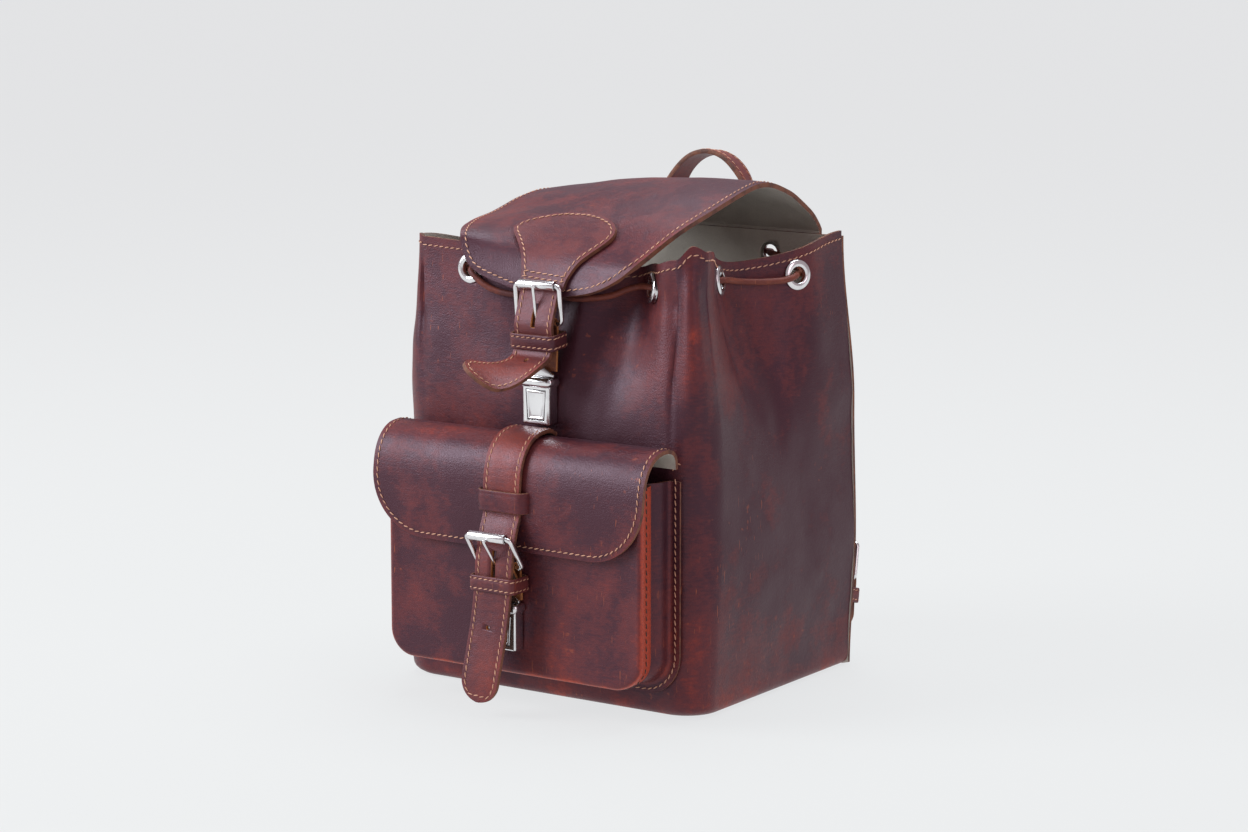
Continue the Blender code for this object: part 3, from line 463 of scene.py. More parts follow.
def tangent(path: Path, i: int) -> Vector:
    """The path's direction at one of its points."""
    return (path[min(i + 1, len(path) - 1)] - path[max(i - 1, 0)]).normalized()


def shares(count: int, length: float, fine: Sequence[float] = (0.5, 1.4, 3.2, 6.0)) -> list[float]:
    """Shares 0 to 1 that lie close together near both ends.

    Args:
        count: How many even steps fill the middle.
        length: The whole length in millimetres.
        fine: Distances in millimetres from each end that get a line of their own.

    Returns:
        The shares in order.
    """
    near = [d / length for d in fine]
    middle = [near[-1] + (1 - 2 * near[-1]) * k / count for k in range(1, count)]
    return [0.0, *near, *middle, *[1 - d for d in reversed(near)], 1.0]


def spread_over(count: int, width: float, *fine: Sequence[float]) -> list[float]:
    """Places from -1 to 1 across a width, close together near both edges."""
    return [2 * share - 1 for share in shares(count, width, *fine)]


def mirrored(side: Sequence[Spot]) -> list[Spot]:
    """A left half's knots and their mirror images, with the last knot in the middle."""
    return [*side, *((-x, y, z) for x, y, z in reversed(side[:-1]))]


@dataclass
class Row:
    """A line that stitches follow, with the surface's outward direction at each point."""

    points: list[Vector]
    lifts: list[Vector]


@dataclass
class Hide:
    """A leather sheet given by a grid of points on its outer face.

    side is +1 or -1 and picks the side of the grid's own normal that the thickness goes to. bend
    gives how far each place is bent or worn, from 0 to 1.
    """

    name: str
    grid: list[list[Vector]]
    thick: float
    side: int
    face: Finish = Finish.HIDE
    edge: Finish = Finish.EDGE
    back: Finish = Finish.FLESH
    bend: Callable[[int, int], float] | None = None
    seams: str = "blrt"
    rough_cut: float = 0.12
    rim_width: float = 9.0
    normals: list[list[Vector]] = field(default_factory=list)

    def __post_init__(self) -> None:
        """Works out the outward direction at each point."""
        rows, columns = self.size
        for i in range(rows):
            line = []
            for j in range(columns):
                along = self.grid[min(i + 1, rows - 1)][j] - self.grid[max(i - 1, 0)][j]
                across = self.grid[i][min(j + 1, columns - 1)] - self.grid[i][max(j - 1, 0)]
                line.append(along.cross(across).normalized() * -self.side)
            self.normals.append(line)

    @property
    def size(self) -> tuple[int, int]:
        """How many rows and columns the grid has."""
        return len(self.grid), len(self.grid[0])

    def _rim_share(self) -> list[list[float]]:
        """How near each point is to a cut edge: 1 at it, 0 from the rim's width away."""
        rows, columns = self.size
        across = [reach_along(row) for row in self.grid]
        along = [reach_along([line[j] for line in self.grid]) for j in range(columns)]
        ways = {
            "l": lambda i, j: across[i][j], "r": lambda i, j: across[i][-1] - across[i][j],
            "b": lambda i, j: along[j][i], "t": lambda i, j: along[j][-1] - along[j][i],
        }
        chosen = [ways[side] for side in self.seams]
        return [[max([1 - way(i, j) / self.rim_width for way in chosen] + [0.0]) for j in range(columns)]
                for i in range(rows)]

    def build(self) -> Piece:
        """Makes the closed sheet with face, edge and back materials."""
        rows, columns = self.size
        bm = bmesh.new()
        rim_layer = bm.verts.layers.float.new("rim")
        bend_layer = bm.verts.layers.float.new("bend")
        rim = self._rim_share()
        outer, inner = [], []
        for i in range(rows):
            outer.append([bm.verts.new(p) for p in self.grid[i]])
            inner.append([bm.verts.new(p - n * self.thick) for p, n in zip(self.grid[i], self.normals[i])])
            for j in range(columns):
                bend = self.bend(i, j) if self.bend else 0.0
                for vertex in (outer[i][j], inner[i][j]):
                    vertex[rim_layer] = rim[i][j]
                    vertex[bend_layer] = bend
        for layer, slot in ((outer, 0), (inner, 2)):
            for i in range(rows - 1):
                for j in range(columns - 1):
                    here, there = layer[i], layer[i + 1]
                    face = bm.faces.new((here[j], there[j], there[j + 1], here[j + 1]))
                    face.material_index = slot
        border = [(i, 0) for i in range(rows)]
        border += [(rows - 1, j) for j in range(1, columns)]
        border += [(i, columns - 1) for i in range(rows - 2, -1, -1)]
        border += [(0, j) for j in range(columns - 2, 0, -1)]
        middle = {}
        for i, j in border:
            out = self._outward(i, j)
            point = self.grid[i][j] - self.normals[i][j] * self.thick / 2
            ragged = noise.noise(point * 0.9) * self.rough_cut
            middle[i, j] = bm.verts.new(point + out * (0.15 + ragged))
        for here, there in zip(border, border[1:] + border[:1]):
            (a, b), (c, d) = here, there
            for ring in ((outer[a][b], outer[c][d], middle[there], middle[here]),
                         (middle[here], middle[there], inner[c][d], inner[a][b])):
                bm.faces.new(ring).material_index = 1
        return finished_mesh(self.name, bm, (self.face, self.edge, self.back), 40.0)

    def _outward(self, i: int, j: int) -> Vector:
        """Direction out of the sheet's border at a border point, along the surface."""
        rows, columns = self.size
        inside = self.grid[min(max(i, 1), rows - 2)][min(max(j, 1), columns - 2)]
        return (self.grid[i][j] - inside).normalized()

    def row(self, inset: float, sides: str, lift: float = 0.25) -> Row:
        """A stitch line a little inside some of the sheet's edges.

        Args:
            inset: Distance from the edge in millimetres.
            sides: The edges in order: b first row, t last row, l first column, r last column.
            lift: How far the line stands above the face.

        Returns:
            The line.
        """
        rows, columns = self.size
        paths = {
            "b": [(0, j) for j in range(columns)],
            "t": [(rows - 1, j) for j in range(columns)],
            "l": [(i, 0) for i in range(rows)],
            "r": [(i, columns - 1) for i in range(rows)],
        }
        points, lifts = [], []
        for number, side in enumerate(sides):
            backward = side.isupper()
            places = paths[side.lower()]
            if backward:
                places = places[::-1]
            edge = [self.grid[i][j] for i, j in places]
            for k, (i, j) in enumerate(places):
                normal = self.normals[i][j]
                run = tangent(edge, k)
                inward = normal.cross(run)
                if inward.dot(self._outward(i, j)) > 0:
                    inward = -inward
                inner_ends = (k == 0 and number > 0) or (k == len(places) - 1 and number < len(sides) - 1)
                if inner_ends:
                    continue
                points.append(edge[k] + inward.normalized() * inset + normal * lift)
                lifts.append(normal)
        return tidy_row(points, lifts, inset)


def tidy_row(points: list[Vector], lifts: list[Vector], inset: float) -> Row:
    """Drops points that crowd or turn back where an inset line rounds a corner."""
    kept = [0]
    for k in range(1, len(points)):
        step = points[k] - points[kept[-1]]
        if step.length < min(inset, 1.0) * 0.5:
            continue
        if len(kept) > 1 and step.dot(points[kept[-1]] - points[kept[-2]]) < 0:
            continue
        kept.append(k)
    return Row([points[k] for k in kept], [lifts[k] for k in kept])


def linked(name: str, data: bpy.types.ID) -> Piece:
    """A new object for some data, in the scene."""
    made = bpy.data.objects.new(name, data)
    bpy.context.scene.collection.objects.link(made)
    return made


def evaluated(piece: Piece) -> bpy.types.Mesh:
    """The mesh that a piece's modifiers give."""
    graph = bpy.context.evaluated_depsgraph_get()
    return bpy.data.meshes.new_from_object(piece.evaluated_get(graph), depsgraph=graph)


def finished_mesh(name: str, bm: Mesh, finishes: Sequence[Finish],
                  crease: float) -> Piece:
    """Turns a bmesh in millimetres into an object in the frame.

    Args:
        name: The piece's name.
        bm: The closed mesh, which is freed.
        finishes: One for each material number on its faces.
        crease: Edges sharper than this angle in degrees stay crisp.

    Returns:
        The object, at the origin.
    """
    bmesh.ops.recalc_face_normals(bm, faces=bm.faces)
    if bm.calc_volume(signed=True) < 0:
        bmesh.ops.reverse_faces(bm, faces=bm.faces)
    bmesh.ops.scale(bm, verts=bm.verts, vec=(MM, MM, MM))
    mesh = bpy.data.meshes.new(name)
    bm.to_mesh(mesh)
    bm.free()
    mesh.shade_smooth()
    mesh.set_sharp_from_angle(angle=math.radians(crease))
    for finish in finishes:
        mesh.materials.append(Bench.material(finish))
    return linked(name, mesh)


def loft(rings: Sequence[Sequence[Vector]], closed: bool = False,
         stripes: Sequence[int] | None = None) -> Mesh:
    """A closed solid through rings of equally many points.

    Args:
        rings: The rings in order.
        closed: True if the last ring joins the first, otherwise both ends are capped.
        stripes: Material number of each face round a ring, or None for 0.

    Returns:
        The mesh.
    """
    bm = bmesh.new()
    rows = [[bm.verts.new(point) for point in ring] for ring in rings]
    count = len(rows[0])
    pairs = list(zip(rows, rows[1:]))
    if closed:
        pairs.append((rows[-1], rows[0]))
    for low, high in pairs:
        for i in range(count):
            j = (i + 1) % count
            face = bm.faces.new((low[i], low[j], high[j], high[i]))
            face.material_index = stripes[i] if stripes else 0
    if not closed:
        edge = 1 if stripes else 0
        bm.faces.new(list(reversed(rows[0]))).material_index = edge
        bm.faces.new(rows[-1]).material_index = edge
    return bm


def plane_axes(axis: Vector) -> tuple[Vector, Vector]:
    """Two unit vectors square to an axis and to each other."""
    axis = axis.normalized()
    side = axis.cross(UP) if abs(axis.z) < 0.9 else axis.cross(REAR)
    side.normalize()
    return side, axis.cross(side)


def turned(centre: Vector, axis: Vector, profile: Sequence[tuple[float, float]],
           segments: int) -> Mesh:
    """A ring: a closed profile of (radius, height) turned round an axis."""
    side, up = plane_axes(axis)
    axis = axis.normalized()
    rings = []
    for k in range(segments):
        angle = math.tau * k / segments
        spoke = side * math.cos(angle) + up * math.sin(angle)
        rings.append([centre + spoke * r + axis * h for r, h in profile])
    return loft(rings, closed=True)


def rod(start: Vector, end: Vector, radius: float, segments: int = 20) -> Mesh:
    """A plain cylinder between two points."""
    side, up = plane_axes(end - start)
    rings = []
    for point in (start, end):
        turn = [math.tau * k / segments for k in range(segments)]
        rings.append([point + (side * math.cos(a) + up * math.sin(a)) * radius for a in turn])
    return loft(rings)


def swept(path: Path, section: Callable[[int, float], float], sides: int,
          closed: bool = False, start: Vector | None = None) -> Mesh:
    """A tube along a path whose radius may vary.

    Args:
        path: The centre line.
        section: Radius at a point number and an angle round it.
        sides: Points round the tube.
        closed: True if the path runs round.
        start: First direction of angle 0, or None for any.

    Returns:
        The mesh.
    """
    count = len(path)
    rings = []
    side = start
    for i, point in enumerate(path):
        before = path[i - 1] if i or closed else point
        after = path[(i + 1) % count] if i < count - 1 or closed else point
        along = (after - before).normalized()
        if side is None:
            side = plane_axes(along)[0]
        side = (side - along * side.dot(along)).normalized()
        up = along.cross(side)
        ring = []
        for k in range(sides):
            angle = math.tau * k / sides
            ring.append(point + (side * math.cos(angle) + up * math.sin(angle)) * section(i, angle))
        rings.append(ring)
    return loft(rings, closed)


@dataclass
class Strap:
    """A flat strap along a path, with a groove for the stitches near each edge."""

    name: str
    path: list[Vector]
    widths: list[float]
    facing: list[Vector]
    thick: float
    face: Finish = Finish.STRAP
    edge: Finish = Finish.EDGE
    back: Finish = Finish.FLESH
    inset: float = 3.4
    bend: Callable[[float], float] | None = None

    def _frame(self, i: int) -> tuple[Vector, Vector]:
        """Sideways and outward directions at a point of the path."""
        along = tangent(self.path, i)
        outward = self.facing[i]
        outward = (outward - along * outward.dot(along)).normalized()
        return along.cross(outward), outward

    def build(self) -> Piece:
        """Makes the closed strap."""
        rings = []
        for i, point in enumerate(self.path):
            side, outward = self._frame(i)
            half, t = self.widths[i] / 2, self.thick / 2
            groove = min(self.inset, half * 0.6)
            top = [(half - 0.35, t - 0.1), (half - groove * 0.5, t + 0.12), (half - groove, t - 0.22),
                   (half - groove * 1.45, t + 0.05), (half * 0.35, t + 0.12)]
            under = [(half - 0.35, -t + 0.05), (half * 0.5, -t)]
            ring = [(-x, y) for x, y in top] + list(reversed(top))
            ring += [(half + 0.05, t * 0.35), (half + 0.05, -t * 0.4)] + under
            ring += [(-x, y) for x, y in reversed(under)]
            ring += [(-half - 0.05, -t * 0.4), (-half - 0.05, t * 0.35)]
            rings.append([point + side * x + outward * y for x, y in ring])
        # round each ring: grain side, one cut edge, flesh side, the other cut edge
        stripes = [0] * 9 + [1] * 3 + [2] * 3 + [1] * 3
        bm = loft(rings, stripes=stripes)
        rim_layer = bm.verts.layers.float.new("rim")
        bend_layer = bm.verts.layers.float.new("bend")
        reach = reach_along(self.path)
        count = len(stripes)
        for number, vertex in enumerate(bm.verts):
            i, k = divmod(number, count)
            near = k in (0, 1, 8, 9) or k > 9
            vertex[rim_layer] = 0.9 if near else 0.35 if k in (2, 7) else 0.0
            vertex[bend_layer] = self.bend(reach[i] / reach[-1]) if self.bend else 0.0
        return finished_mesh(self.name, bm, (self.face, self.edge, self.back), 48.0)

    def rows(self, start: float = 0.0, end: float = 1.0, round_tip: bool = False) -> list[Row]:
        """The stitch lines along both edges.

        Args:
            start: Share of the length where they start.
            end: Share where they end.
            round_tip: True to join them round the far end.

        Returns:
            The lines.
        """
        reach = reach_along(self.path)
        lines: list[Row] = []
        for sign in (-1, 1):
            points, lifts = [], []
            for i, point in enumerate(self.path):
                if not start <= reach[i] / reach[-1] <= end:
                    continue
                side, outward = self._frame(i)
                half = self.widths[i] / 2
                across = max(half - min(self.inset, half * 0.6), 0.0)
                points.append(point + side * sign * across + outward * (self.thick / 2 + 0.05))
                lifts.append(outward)
            lines.append(Row(points, lifts))
        if not round_tip:
            return lines
        left, right = lines
        return [Row(left.points + right.points[::-1], left.lifts + right.lifts[::-1])]


def tip_widths(path: Path, width: float, length: float) -> list[float]:
    """Strap widths that stay full and round off over the last stretch.

    Args:
        path: The strap's middle line.
        width: Its full width.
        length: How long the rounded tip is.

    Returns:
        The width at each point.
    """
    reach = reach_along(path)
    widths = []
    for distance in reach:
        share = 1 - min((reach[-1] - distance) / length, 1.0)
        widths.append(max(width * math.sqrt(max(1 - share * share, 0.0)), width * LEAST_TIP))
    return widths


def fine_tip(points: Path, length: float) -> list[Vector]:
    """A path whose points crowd towards the end, so that a rounded tip is smooth."""
    path = even_path(points, 3.0)
    reach = reach_along(path)
    total = reach[-1]
    goals = [total - length * (1 - math.sin(math.pi / 2 * k / 12)) for k in range(1, 13)]
    kept = [p for p, r in zip(path, reach) if r <= total - length]
    dense = even_path(points, 0.25)
    dense_reach = reach_along(dense)
    for goal in goals:
        kept.append(min(zip(dense, dense_reach), key=lambda pair: abs(pair[1] - goal))[0])
    return kept


# --- the workbench


class StitchTree:
    """A Geometry Nodes tree that lays thread along edge lines."""

    def __init__(self) -> None:
        """Builds the tree once."""
        self.tree = bpy.data.node_groups.new("stitch_line", "GeometryNodeTree")
        face = self.tree.interface
        face.new_socket("Lines", in_out="INPUT", socket_type="NodeSocketGeometry")
        self.inputs: dict[str, str] = {}
        for name, value in (("Pitch", 0.0050), ("Length", 0.0042), ("Radius", 0.00047), ("Slant", 0.24)):
            socket = face.new_socket(name, in_out="INPUT", socket_type="NodeSocketFloat")
            socket.default_value = value
            self.inputs[name] = socket.identifier
        socket = face.new_socket("Thread", in_out="INPUT", socket_type="NodeSocketMaterial")
        self.inputs["Thread"] = socket.identifier
        face.new_socket("Stitches", in_out="OUTPUT", socket_type="NodeSocketGeometry")
        source = self._out("NodeGroupInput", many=True)
        curve = self._out("GeometryNodeMeshToCurve", {"Mesh": source["Lines"]})
        even = self._out("GeometryNodeResampleCurve", {"Curve": curve, "Length": source["Pitch"]},
                         mode="LENGTH")
        lift = self._out("GeometryNodeInputNamedAttribute", {"Name": "lift"}, data_type="FLOAT_VECTOR")
        run = self._out("GeometryNodeInputTangent")
        aim = self._out("FunctionNodeAxesToRotation", {0: run, 1: lift},
                        primary_axis="X", secondary_axis="Z")
        slant = self._out("ShaderNodeCombineXYZ", {"Z": source["Slant"]})
        turn = self._out("FunctionNodeEulerToRotation", {"Euler": slant})
        both = self._out("FunctionNodeRotateRotation", {0: aim, 1: turn}, rotation_space="LOCAL")
        ball = self._out("GeometryNodeMeshUVSphere", {"Segments": 6, "Rings": 6, "Radius": 1.0})
        half = self._out("ShaderNodeMath", {0: source["Length"], 1: 0.5}, operation="MULTIPLY")
        size = self._out("ShaderNodeCombineXYZ", {"X": half, "Y": source["Radius"], "Z": source["Radius"]})
        spin = self._out("GeometryNodeTransform", {"Geometry": ball, "Rotation": (0.0, math.pi / 2, 0.0)})
        shape = self._out("GeometryNodeTransform", {"Geometry": spin, "Scale": size})
        place = self._out("GeometryNodeInstanceOnPoints",
                          {"Points": even, "Instance": shape, "Rotation": both})
        real = self._out("GeometryNodeRealizeInstances", {"Geometry": place})
        soft = self._out("GeometryNodeSetShadeSmooth", {"Geometry": real})
        dressed = self._out("GeometryNodeSetMaterial", {"Geometry": soft, "Material": source["Thread"]})
        add_node(self.tree, "NodeGroupOutput", None, {0: dressed})

    def _out(self, kind: str, inputs: dict | None = None, many: bool = False,
             **settings: str) -> Socket | bpy.types.NodeOutputs:
        """Adds a node.

        Args:
            kind: The node's type.
            inputs: Links or values of its sockets, by name or number.
            many: True for all its outputs instead of the first.
            settings: Its own properties.

        Returns:
            The output or outputs.
        """
        outputs = add_node(self.tree, kind, settings, inputs).outputs
        return outputs if many else outputs[0]

    def sew(self, name: str, rows: Sequence[Row], thread: Finish, **sizes: float) -> Piece:
        """Lays stitches along lines and returns them as one plain mesh.

        Args:
            name: The piece's name.
            rows: The lines in millimetres.
            thread: The thread's finish.
            sizes: Tree inputs to change, in metres and radians.

        Returns:
            The stitches.
        """
        lines = bpy.data.meshes.new(name + "_lines")
        points, edges, lifts = [], [], []
        for row in rows:
            start = len(points)
            points += [p * MM for p in row.points]
            lifts += [component for lift in row.lifts for component in lift]
            edges += [(k, k + 1) for k in range(start, len(points) - 1)]
        lines.from_pydata(points, edges, [])
        attribute = lines.attributes.new("lift", "FLOAT_VECTOR", "POINT")
        attribute.data.foreach_set("vector", lifts)
        holder = linked(name + "_lines", lines)
        modifier = holder.modifiers.new("stitches", "NODES")
        modifier.node_group = self.tree
        for key, value in sizes.items():
            modifier[self.inputs[key]] = value
        modifier[self.inputs["Thread"]] = Bench.material(thread)
        mesh = evaluated(holder)
        mesh.name = name
        if not mesh.materials:
            mesh.materials.append(Bench.material(thread))
        bpy.data.objects.remove(holder)
        return linked(name, mesh)


class Bench:
    """Keeps the materials and the stitch tree, and puts finished pieces on their bodies."""

    _materials: dict[Finish, bpy.types.Material] = {}
    _stitches: StitchTree | None = None

    @classmethod
    def material(cls, finish: Finish) -> bpy.types.Material:
        """The material of a finish, made once."""
        if finish not in cls._materials:
            cls._materials[finish] = RECIPES[finish].material()
        return cls._materials[finish]

    @classmethod
    def sew(cls, name: str, body: str, rows: Sequence[Row], thread: Finish = Finish.THREAD,
            between: Bend | None = None, **sizes: float) -> None:
        """Sews lines on a body.

        Args:
            name: The piece's name.
            body: The body that it rides on.
            rows: The lines.
            thread: The thread.
            between: The bend of its leather, if that crosses a joint; the stitches are then only baked in
                place.
            sizes: Stitch sizes to change.
        """
        if cls._stitches is None:
            cls._stitches = StitchTree()
        piece = cls._stitches.sew(name, rows, thread, **sizes)
        cls.put(piece, body, thread, between=between)

    @staticmethod
    def put(piece: Piece, body: str, finish: Finish, *nodes: str,
            between: Bend | None = None) -> None:
        """Places a piece on its body, or, when a bend is given, only bakes its transform in place and
        leaves it unattached.

        Args:
            piece: The finished piece.
            body: The body it rides on.
            finish: Not used.
            nodes: The CAD nodes that it stands for.
            between: For leather that crosses a joint: the fixed and moving bodies, and the two
                points in millimetres where the bend starts and ends.
        """
        if between is None:
            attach(piece, body)
        else:
            low, high, start, end = between
            [v * MM for v in start]
            [v * MM for v in end]
            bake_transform(piece)
        if nodes:
            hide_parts(*nodes)
        LOG.info("%s on %s: %d faces", piece.name, body, len(piece.data.polygons))

    @staticmethod
    def carve(piece: Piece, cutters: Sequence[Mesh], finish: Finish) -> None:
        """Takes cutters out of a piece for good.

        Args:
            piece: The piece.
            cutters: Closed meshes in millimetres.
            finish: Finish of the cut walls.
        """
        tools = []
        group = bpy.data.collections.new("cutters")
        for number, bm in enumerate(cutters):
            tool = finished_mesh(f"cutter_{number}", bm, (finish,), 40.0)
            bpy.context.scene.collection.objects.unlink(tool)
            group.objects.link(tool)
            tools.append(tool)
        bpy.context.scene.collection.children.link(group)
        modifier = piece.modifiers.new("carve", "BOOLEAN")
        modifier.operation = "DIFFERENCE"
        modifier.solver = "EXACT"
        modifier.operand_type = "COLLECTION"
        modifier.collection = group
        modifier.material_mode = "TRANSFER"
        settle(piece)
        for tool in tools:
            bpy.data.objects.remove(tool)
        bpy.data.collections.remove(group)


def settle(piece: Piece) -> None:
    """Applies a piece's modifiers."""
    mesh = evaluated(piece)
    piece.modifiers.clear()
    piece.data = mesh


def soften(piece: Piece, width: float, segments: int, limit: float, crease: float) -> None:
    """Rounds a piece's sharp edges.

    Args:
        piece: The piece.
        width: Bevel width in millimetres.
        segments: Bevel steps.
        limit: Edges sharper than this angle in degrees are rounded.
        crease: Edges still sharper than this one stay crisp.
    """
    modifier = piece.modifiers.new("bevel", "BEVEL")
    modifier.width = width * MM
    modifier.segments = segments
    modifier.limit_method = "ANGLE"
    modifier.angle_limit = math.radians(limit)
    settle(piece)
    piece.data.shade_smooth()
    piece.data.set_sharp_from_angle(angle=math.radians(crease))


# --- the body


@dataclass
class BodyShell:
    """Front and sides in one hide, closed behind by the back panel and below by the base."""

    front: float = 104.0
    back: float = 105.0
    hide: float = 2.5
    gap: float = 0.35
    turn: float = 8.0
    back_top: float = 322.5
    hole: float = 8.4
    front_eyelets: tuple[tuple[str, float, float], ...] = (
        ("front_left", 2.195, 306.0), ("front_right", 2.876, 301.5), ("side_right_front", 4.305, 301.5),
        ("side_right_rear", 4.690, 299.5), ("side_left_front", 0.695, 301.5),
        ("side_left_rear", 0.310, 299.5),
    )
    gathers: Knots = ((2.60, 0.5), (2.72, 0.22), (2.98, -0.30), (4.18, -0.45), (4.50, 0.1), (4.62, 0.35))
    rim: Knots = (
        (0, 326), (0.55, 311), (1, 327), (1.6, 328), (2, 326), (2.16, 325), (2.3, 318), (2.5, 309),
        (2.75, 312), (2.9, 319), (3, 324), (3.5, 334), (4, 329), (4.45, 312), (5, 326.5),
    )

    def half_width(self, h: float) -> float:
        """Half the width at height share h."""
        return through(((0, 131.5), (0.30, 135.6), (0.62, 133), (1, 122)), h)

    def depth(self, h: float) -> float:
        """How far the front stands before the origin at height share h."""
        return through(((0, self.front), (0.05, 105), (0.66, 105), (1, 95)), h)

    def point(self, q: float, h: float) -> Vector:
        """A point of the outer face.

        Args:
            q: Place round the body: 0-1 left side, 1-2 corner, 2-3 front, 3-4 corner, 4-5 right side.
            h: Share of the height under the rim.

        Returns:
            The point.
        """
        z = through(self.rim, q) * h
        turn = self.turn - math.sqrt(max(self.turn**2 - max(self.turn - z, 0) ** 2, 0))
        wide = self.half_width(h) - turn
        deep = self.depth(h) - turn
        back = self.back - self.hide - self.gap
        left = through(((0, 24), (0.6, 30), (1, 8)), h)
        right = through(((0, 24), (0.6, 30), (1, 17)), h)
        if q <= 1:
            normal = Vector((-1, 0, 0))
            x, y = -wide, back + (left - deep - back) * q
        elif q <= 2:
            angle = math.pi + (q - 1) * math.pi / 2
            normal = Vector((math.cos(angle), math.sin(angle), 0))
            x, y = left - wide + normal.x * left, left - deep + normal.y * left
        elif q <= 3:
            normal = FRONT
            x, y = left - wide + (2 * wide - left - right) * (q - 2), -deep
        elif q <= 4:
            angle = -math.pi / 2 + (q - 3) * math.pi / 2
            normal = Vector((math.cos(angle), math.sin(angle), 0))
            x, y = wide - right + normal.x * right, right - deep + normal.y * right
        else:
            normal = Vector((1, 0, 0))
            x, y = wide, right - deep + (back + deep - right) * (q - 4)
        inset = 0.0
        if q < 1 or q > 4:
            inset = through(((0.45, 0), (1, 29)), h) * bump(y + 10, 76)
        elif 2 < q < 3:
            inset = through(((0.62, 0), (1, 26)), h) * bump(x - 58, 40)
            inset += through(((0.70, 0), (1, 9)), h) * bump(x, 60)
        return Vector((x, y, z)) - normal * inset

    def normal(self, q: float, h: float) -> Vector:
        """Outward normal of the outer face."""
        along = self.point(q + 0.02, h) - self.point(q - 0.02, h)
        up = self.point(q, h + 0.01) - self.point(q, h - 0.01)
        return along.cross(up).normalized()

    def crest(self, q: float, h: float) -> float:
        """How sharply the hide is bent at a place, from 0 to 1."""
        rise = through(((0.48, 0), (0.86, 1)), h)
        middle = 3.40 + 0.18 * (1 - h)
        bent = bump(q - middle, 0.42) * rise * 0.82
        bent = max(bent, bump(q - 1.5, 0.45) * 0.45, bump(q - 3.5, 0.55) * 0.42)
        bent = max(bent, bump(q - 4.06, 0.20) * rise * 0.6, bump(q - 2.98, 0.12) * rise * 0.5)
        bent = max(bent, through(((0, 1), (0.02, 0.9), (0.07, 0)), h) * 0.75)
        return min(bent, 1.0)

    def worn(self, q: float, h: float) -> Vector:
        """The outer face with its small folds and waves."""
        point = self.point(q, h)
        share = through(((0.52, 0), (0.80, 1), (0.90, 1), (0.985, 0)), h)
        lean = 3.46 + 0.25 * (1 - h)
        inward = share * (3.4 * bump(q - lean + 0.50, 0.40) + 2.6 * bump(q - lean - 0.46, 0.40))
        inward -= share * 2.6 * bump(q - lean + 0.04, 0.30)
        inward += share * 2.2 * bump(q - 1.86 - 0.2 * (1 - h), 0.16)
        for place, lean_out in self.gathers:
            inward += share * 1.8 * bump(q - place + lean_out * (1 - h), 0.075)
        calm = through(((0.0, 0), (0.04, 1), (0.80, 1), (0.89, 0.12)), h)
        wave = noise.noise(point * 0.016) * 1.5 + noise.noise(point * 0.045) * 0.55
        inward += calm * (wave + 0.6)
        return point - self.normal(q, h) * inward if inward else point

    def hide_piece(self) -> Hide:
        """The sheet of the front and sides."""
        columns = [k / 44 for k in range(44)] + [1 + k / 16 for k in range(16)]
        columns += [2 + k / 64 for k in range(64)] + [3 + k / 24 for k in range(24)]
        columns += [4 + k / 48 for k in range(49)]
        heights = [0, 0.003, 0.008, 0.014, 0.021] + [0.03 + 0.93 * k / 72 for k in range(73)]
        heights += [0.972, 0.982, 0.989, 0.994, 0.9975, 1.0]
        grid = [[self.worn(q, h) for q in columns] for h in heights]
        bend = [[self.crest(q, h) for q in columns] for h in heights]
        return Hide("body_hide", grid, self.hide, 1, back=Finish.LINING, seams="t",
                    bend=lambda i, j: bend[i][j])

    def spot(self, q: float, z: float) -> tuple[Vector, Vector]:
        """Where an eyelet sits, and its outward axis."""
        h = z / through(self.rim, q)
        return self.point(q, h), self.normal(q, h)

    def places(self) -> dict[str, tuple[Vector, Vector]]:
        """Every eyelet's place and axis."""
        found = {name: self.spot(q, z) for name, q, z in self.front_eyelets}
        for name, x in (("back_left", -60.0), ("back_right", 60.0)):
            found[name] = (Vector((x, self.back, 306.0)), REAR)
        return found

    def holes(self, names: Sequence[str]) -> list[Mesh]:
        """Cutters for the holes under some eyelets."""
        spots = [self.places()[name] for name in names]
        return [rod(p - n * 9, p + n * 6, self.hole, 40) for p, n in spots]

    def build(self) -> None:
        """Makes and places the hide and the back panel with their seams, and gives the base the hide's
        material.
        """
        hide = self.hide_piece()
        piece = hide.build()
        Bench.carve(piece, self.holes([name for name, _, _ in self.front_eyelets]), Finish.EDGE)
        Bench.put(piece, "root", Finish.HIDE, "body_front_and_sides")
        line = [0.02 + 4.96 * k / 620 for k in range(621)]
        inset = [(q, 1 - 6.0 / through(self.rim, q)) for q in line]
        row = Row([self.worn(q, h) + self.normal(q, h) * 0.25 for q, h in inset],
                  [self.normal(q, h) for q, h in inset])
        Bench.sew("body_rim_stitches", "root", [row])
        self._back()
        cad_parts["base_panel"].material_slots[0].material = Bench.material(Finish.HIDE)

    def _back(self) -> None:
        """The back panel with its eyelet holes and edge seam."""
        heights = [0, 0.004, 0.012, 0.02] + [0.03 + 0.94 * k / 40 for k in range(41)]
        heights += [0.98, 0.99, 0.996, 1.0]
        spread = shares(44, 260.0)
        grid = []
        for h in heights:
            wide = self.half_width(h) - (self.turn * 0.6 if h == 0 else 0)
            line = []
            for share in spread:
                point = Vector((wide * (2 * share - 1), self.back, h * self.back_top))
                calm = bump(share - 0.5, 0.5) * through(((0, 0), (0.1, 1), (0.72, 1), (0.8, 0)), h)
                point.y -= calm * (0.5 + noise.noise(point * 0.03) * 0.5)
                line.append(point)
            grid.append(line)
        panel = Hide("back_hide", grid, self.hide, -1, back=Finish.LINING)
        piece = panel.build()
        Bench.carve(piece, self.holes(["back_left", "back_right"]), Finish.EDGE)
        Bench.put(piece, "root", Finish.HIDE, "back_panel")
        Bench.sew("back_seam", "root", [panel.row(5.5, "lTR")])


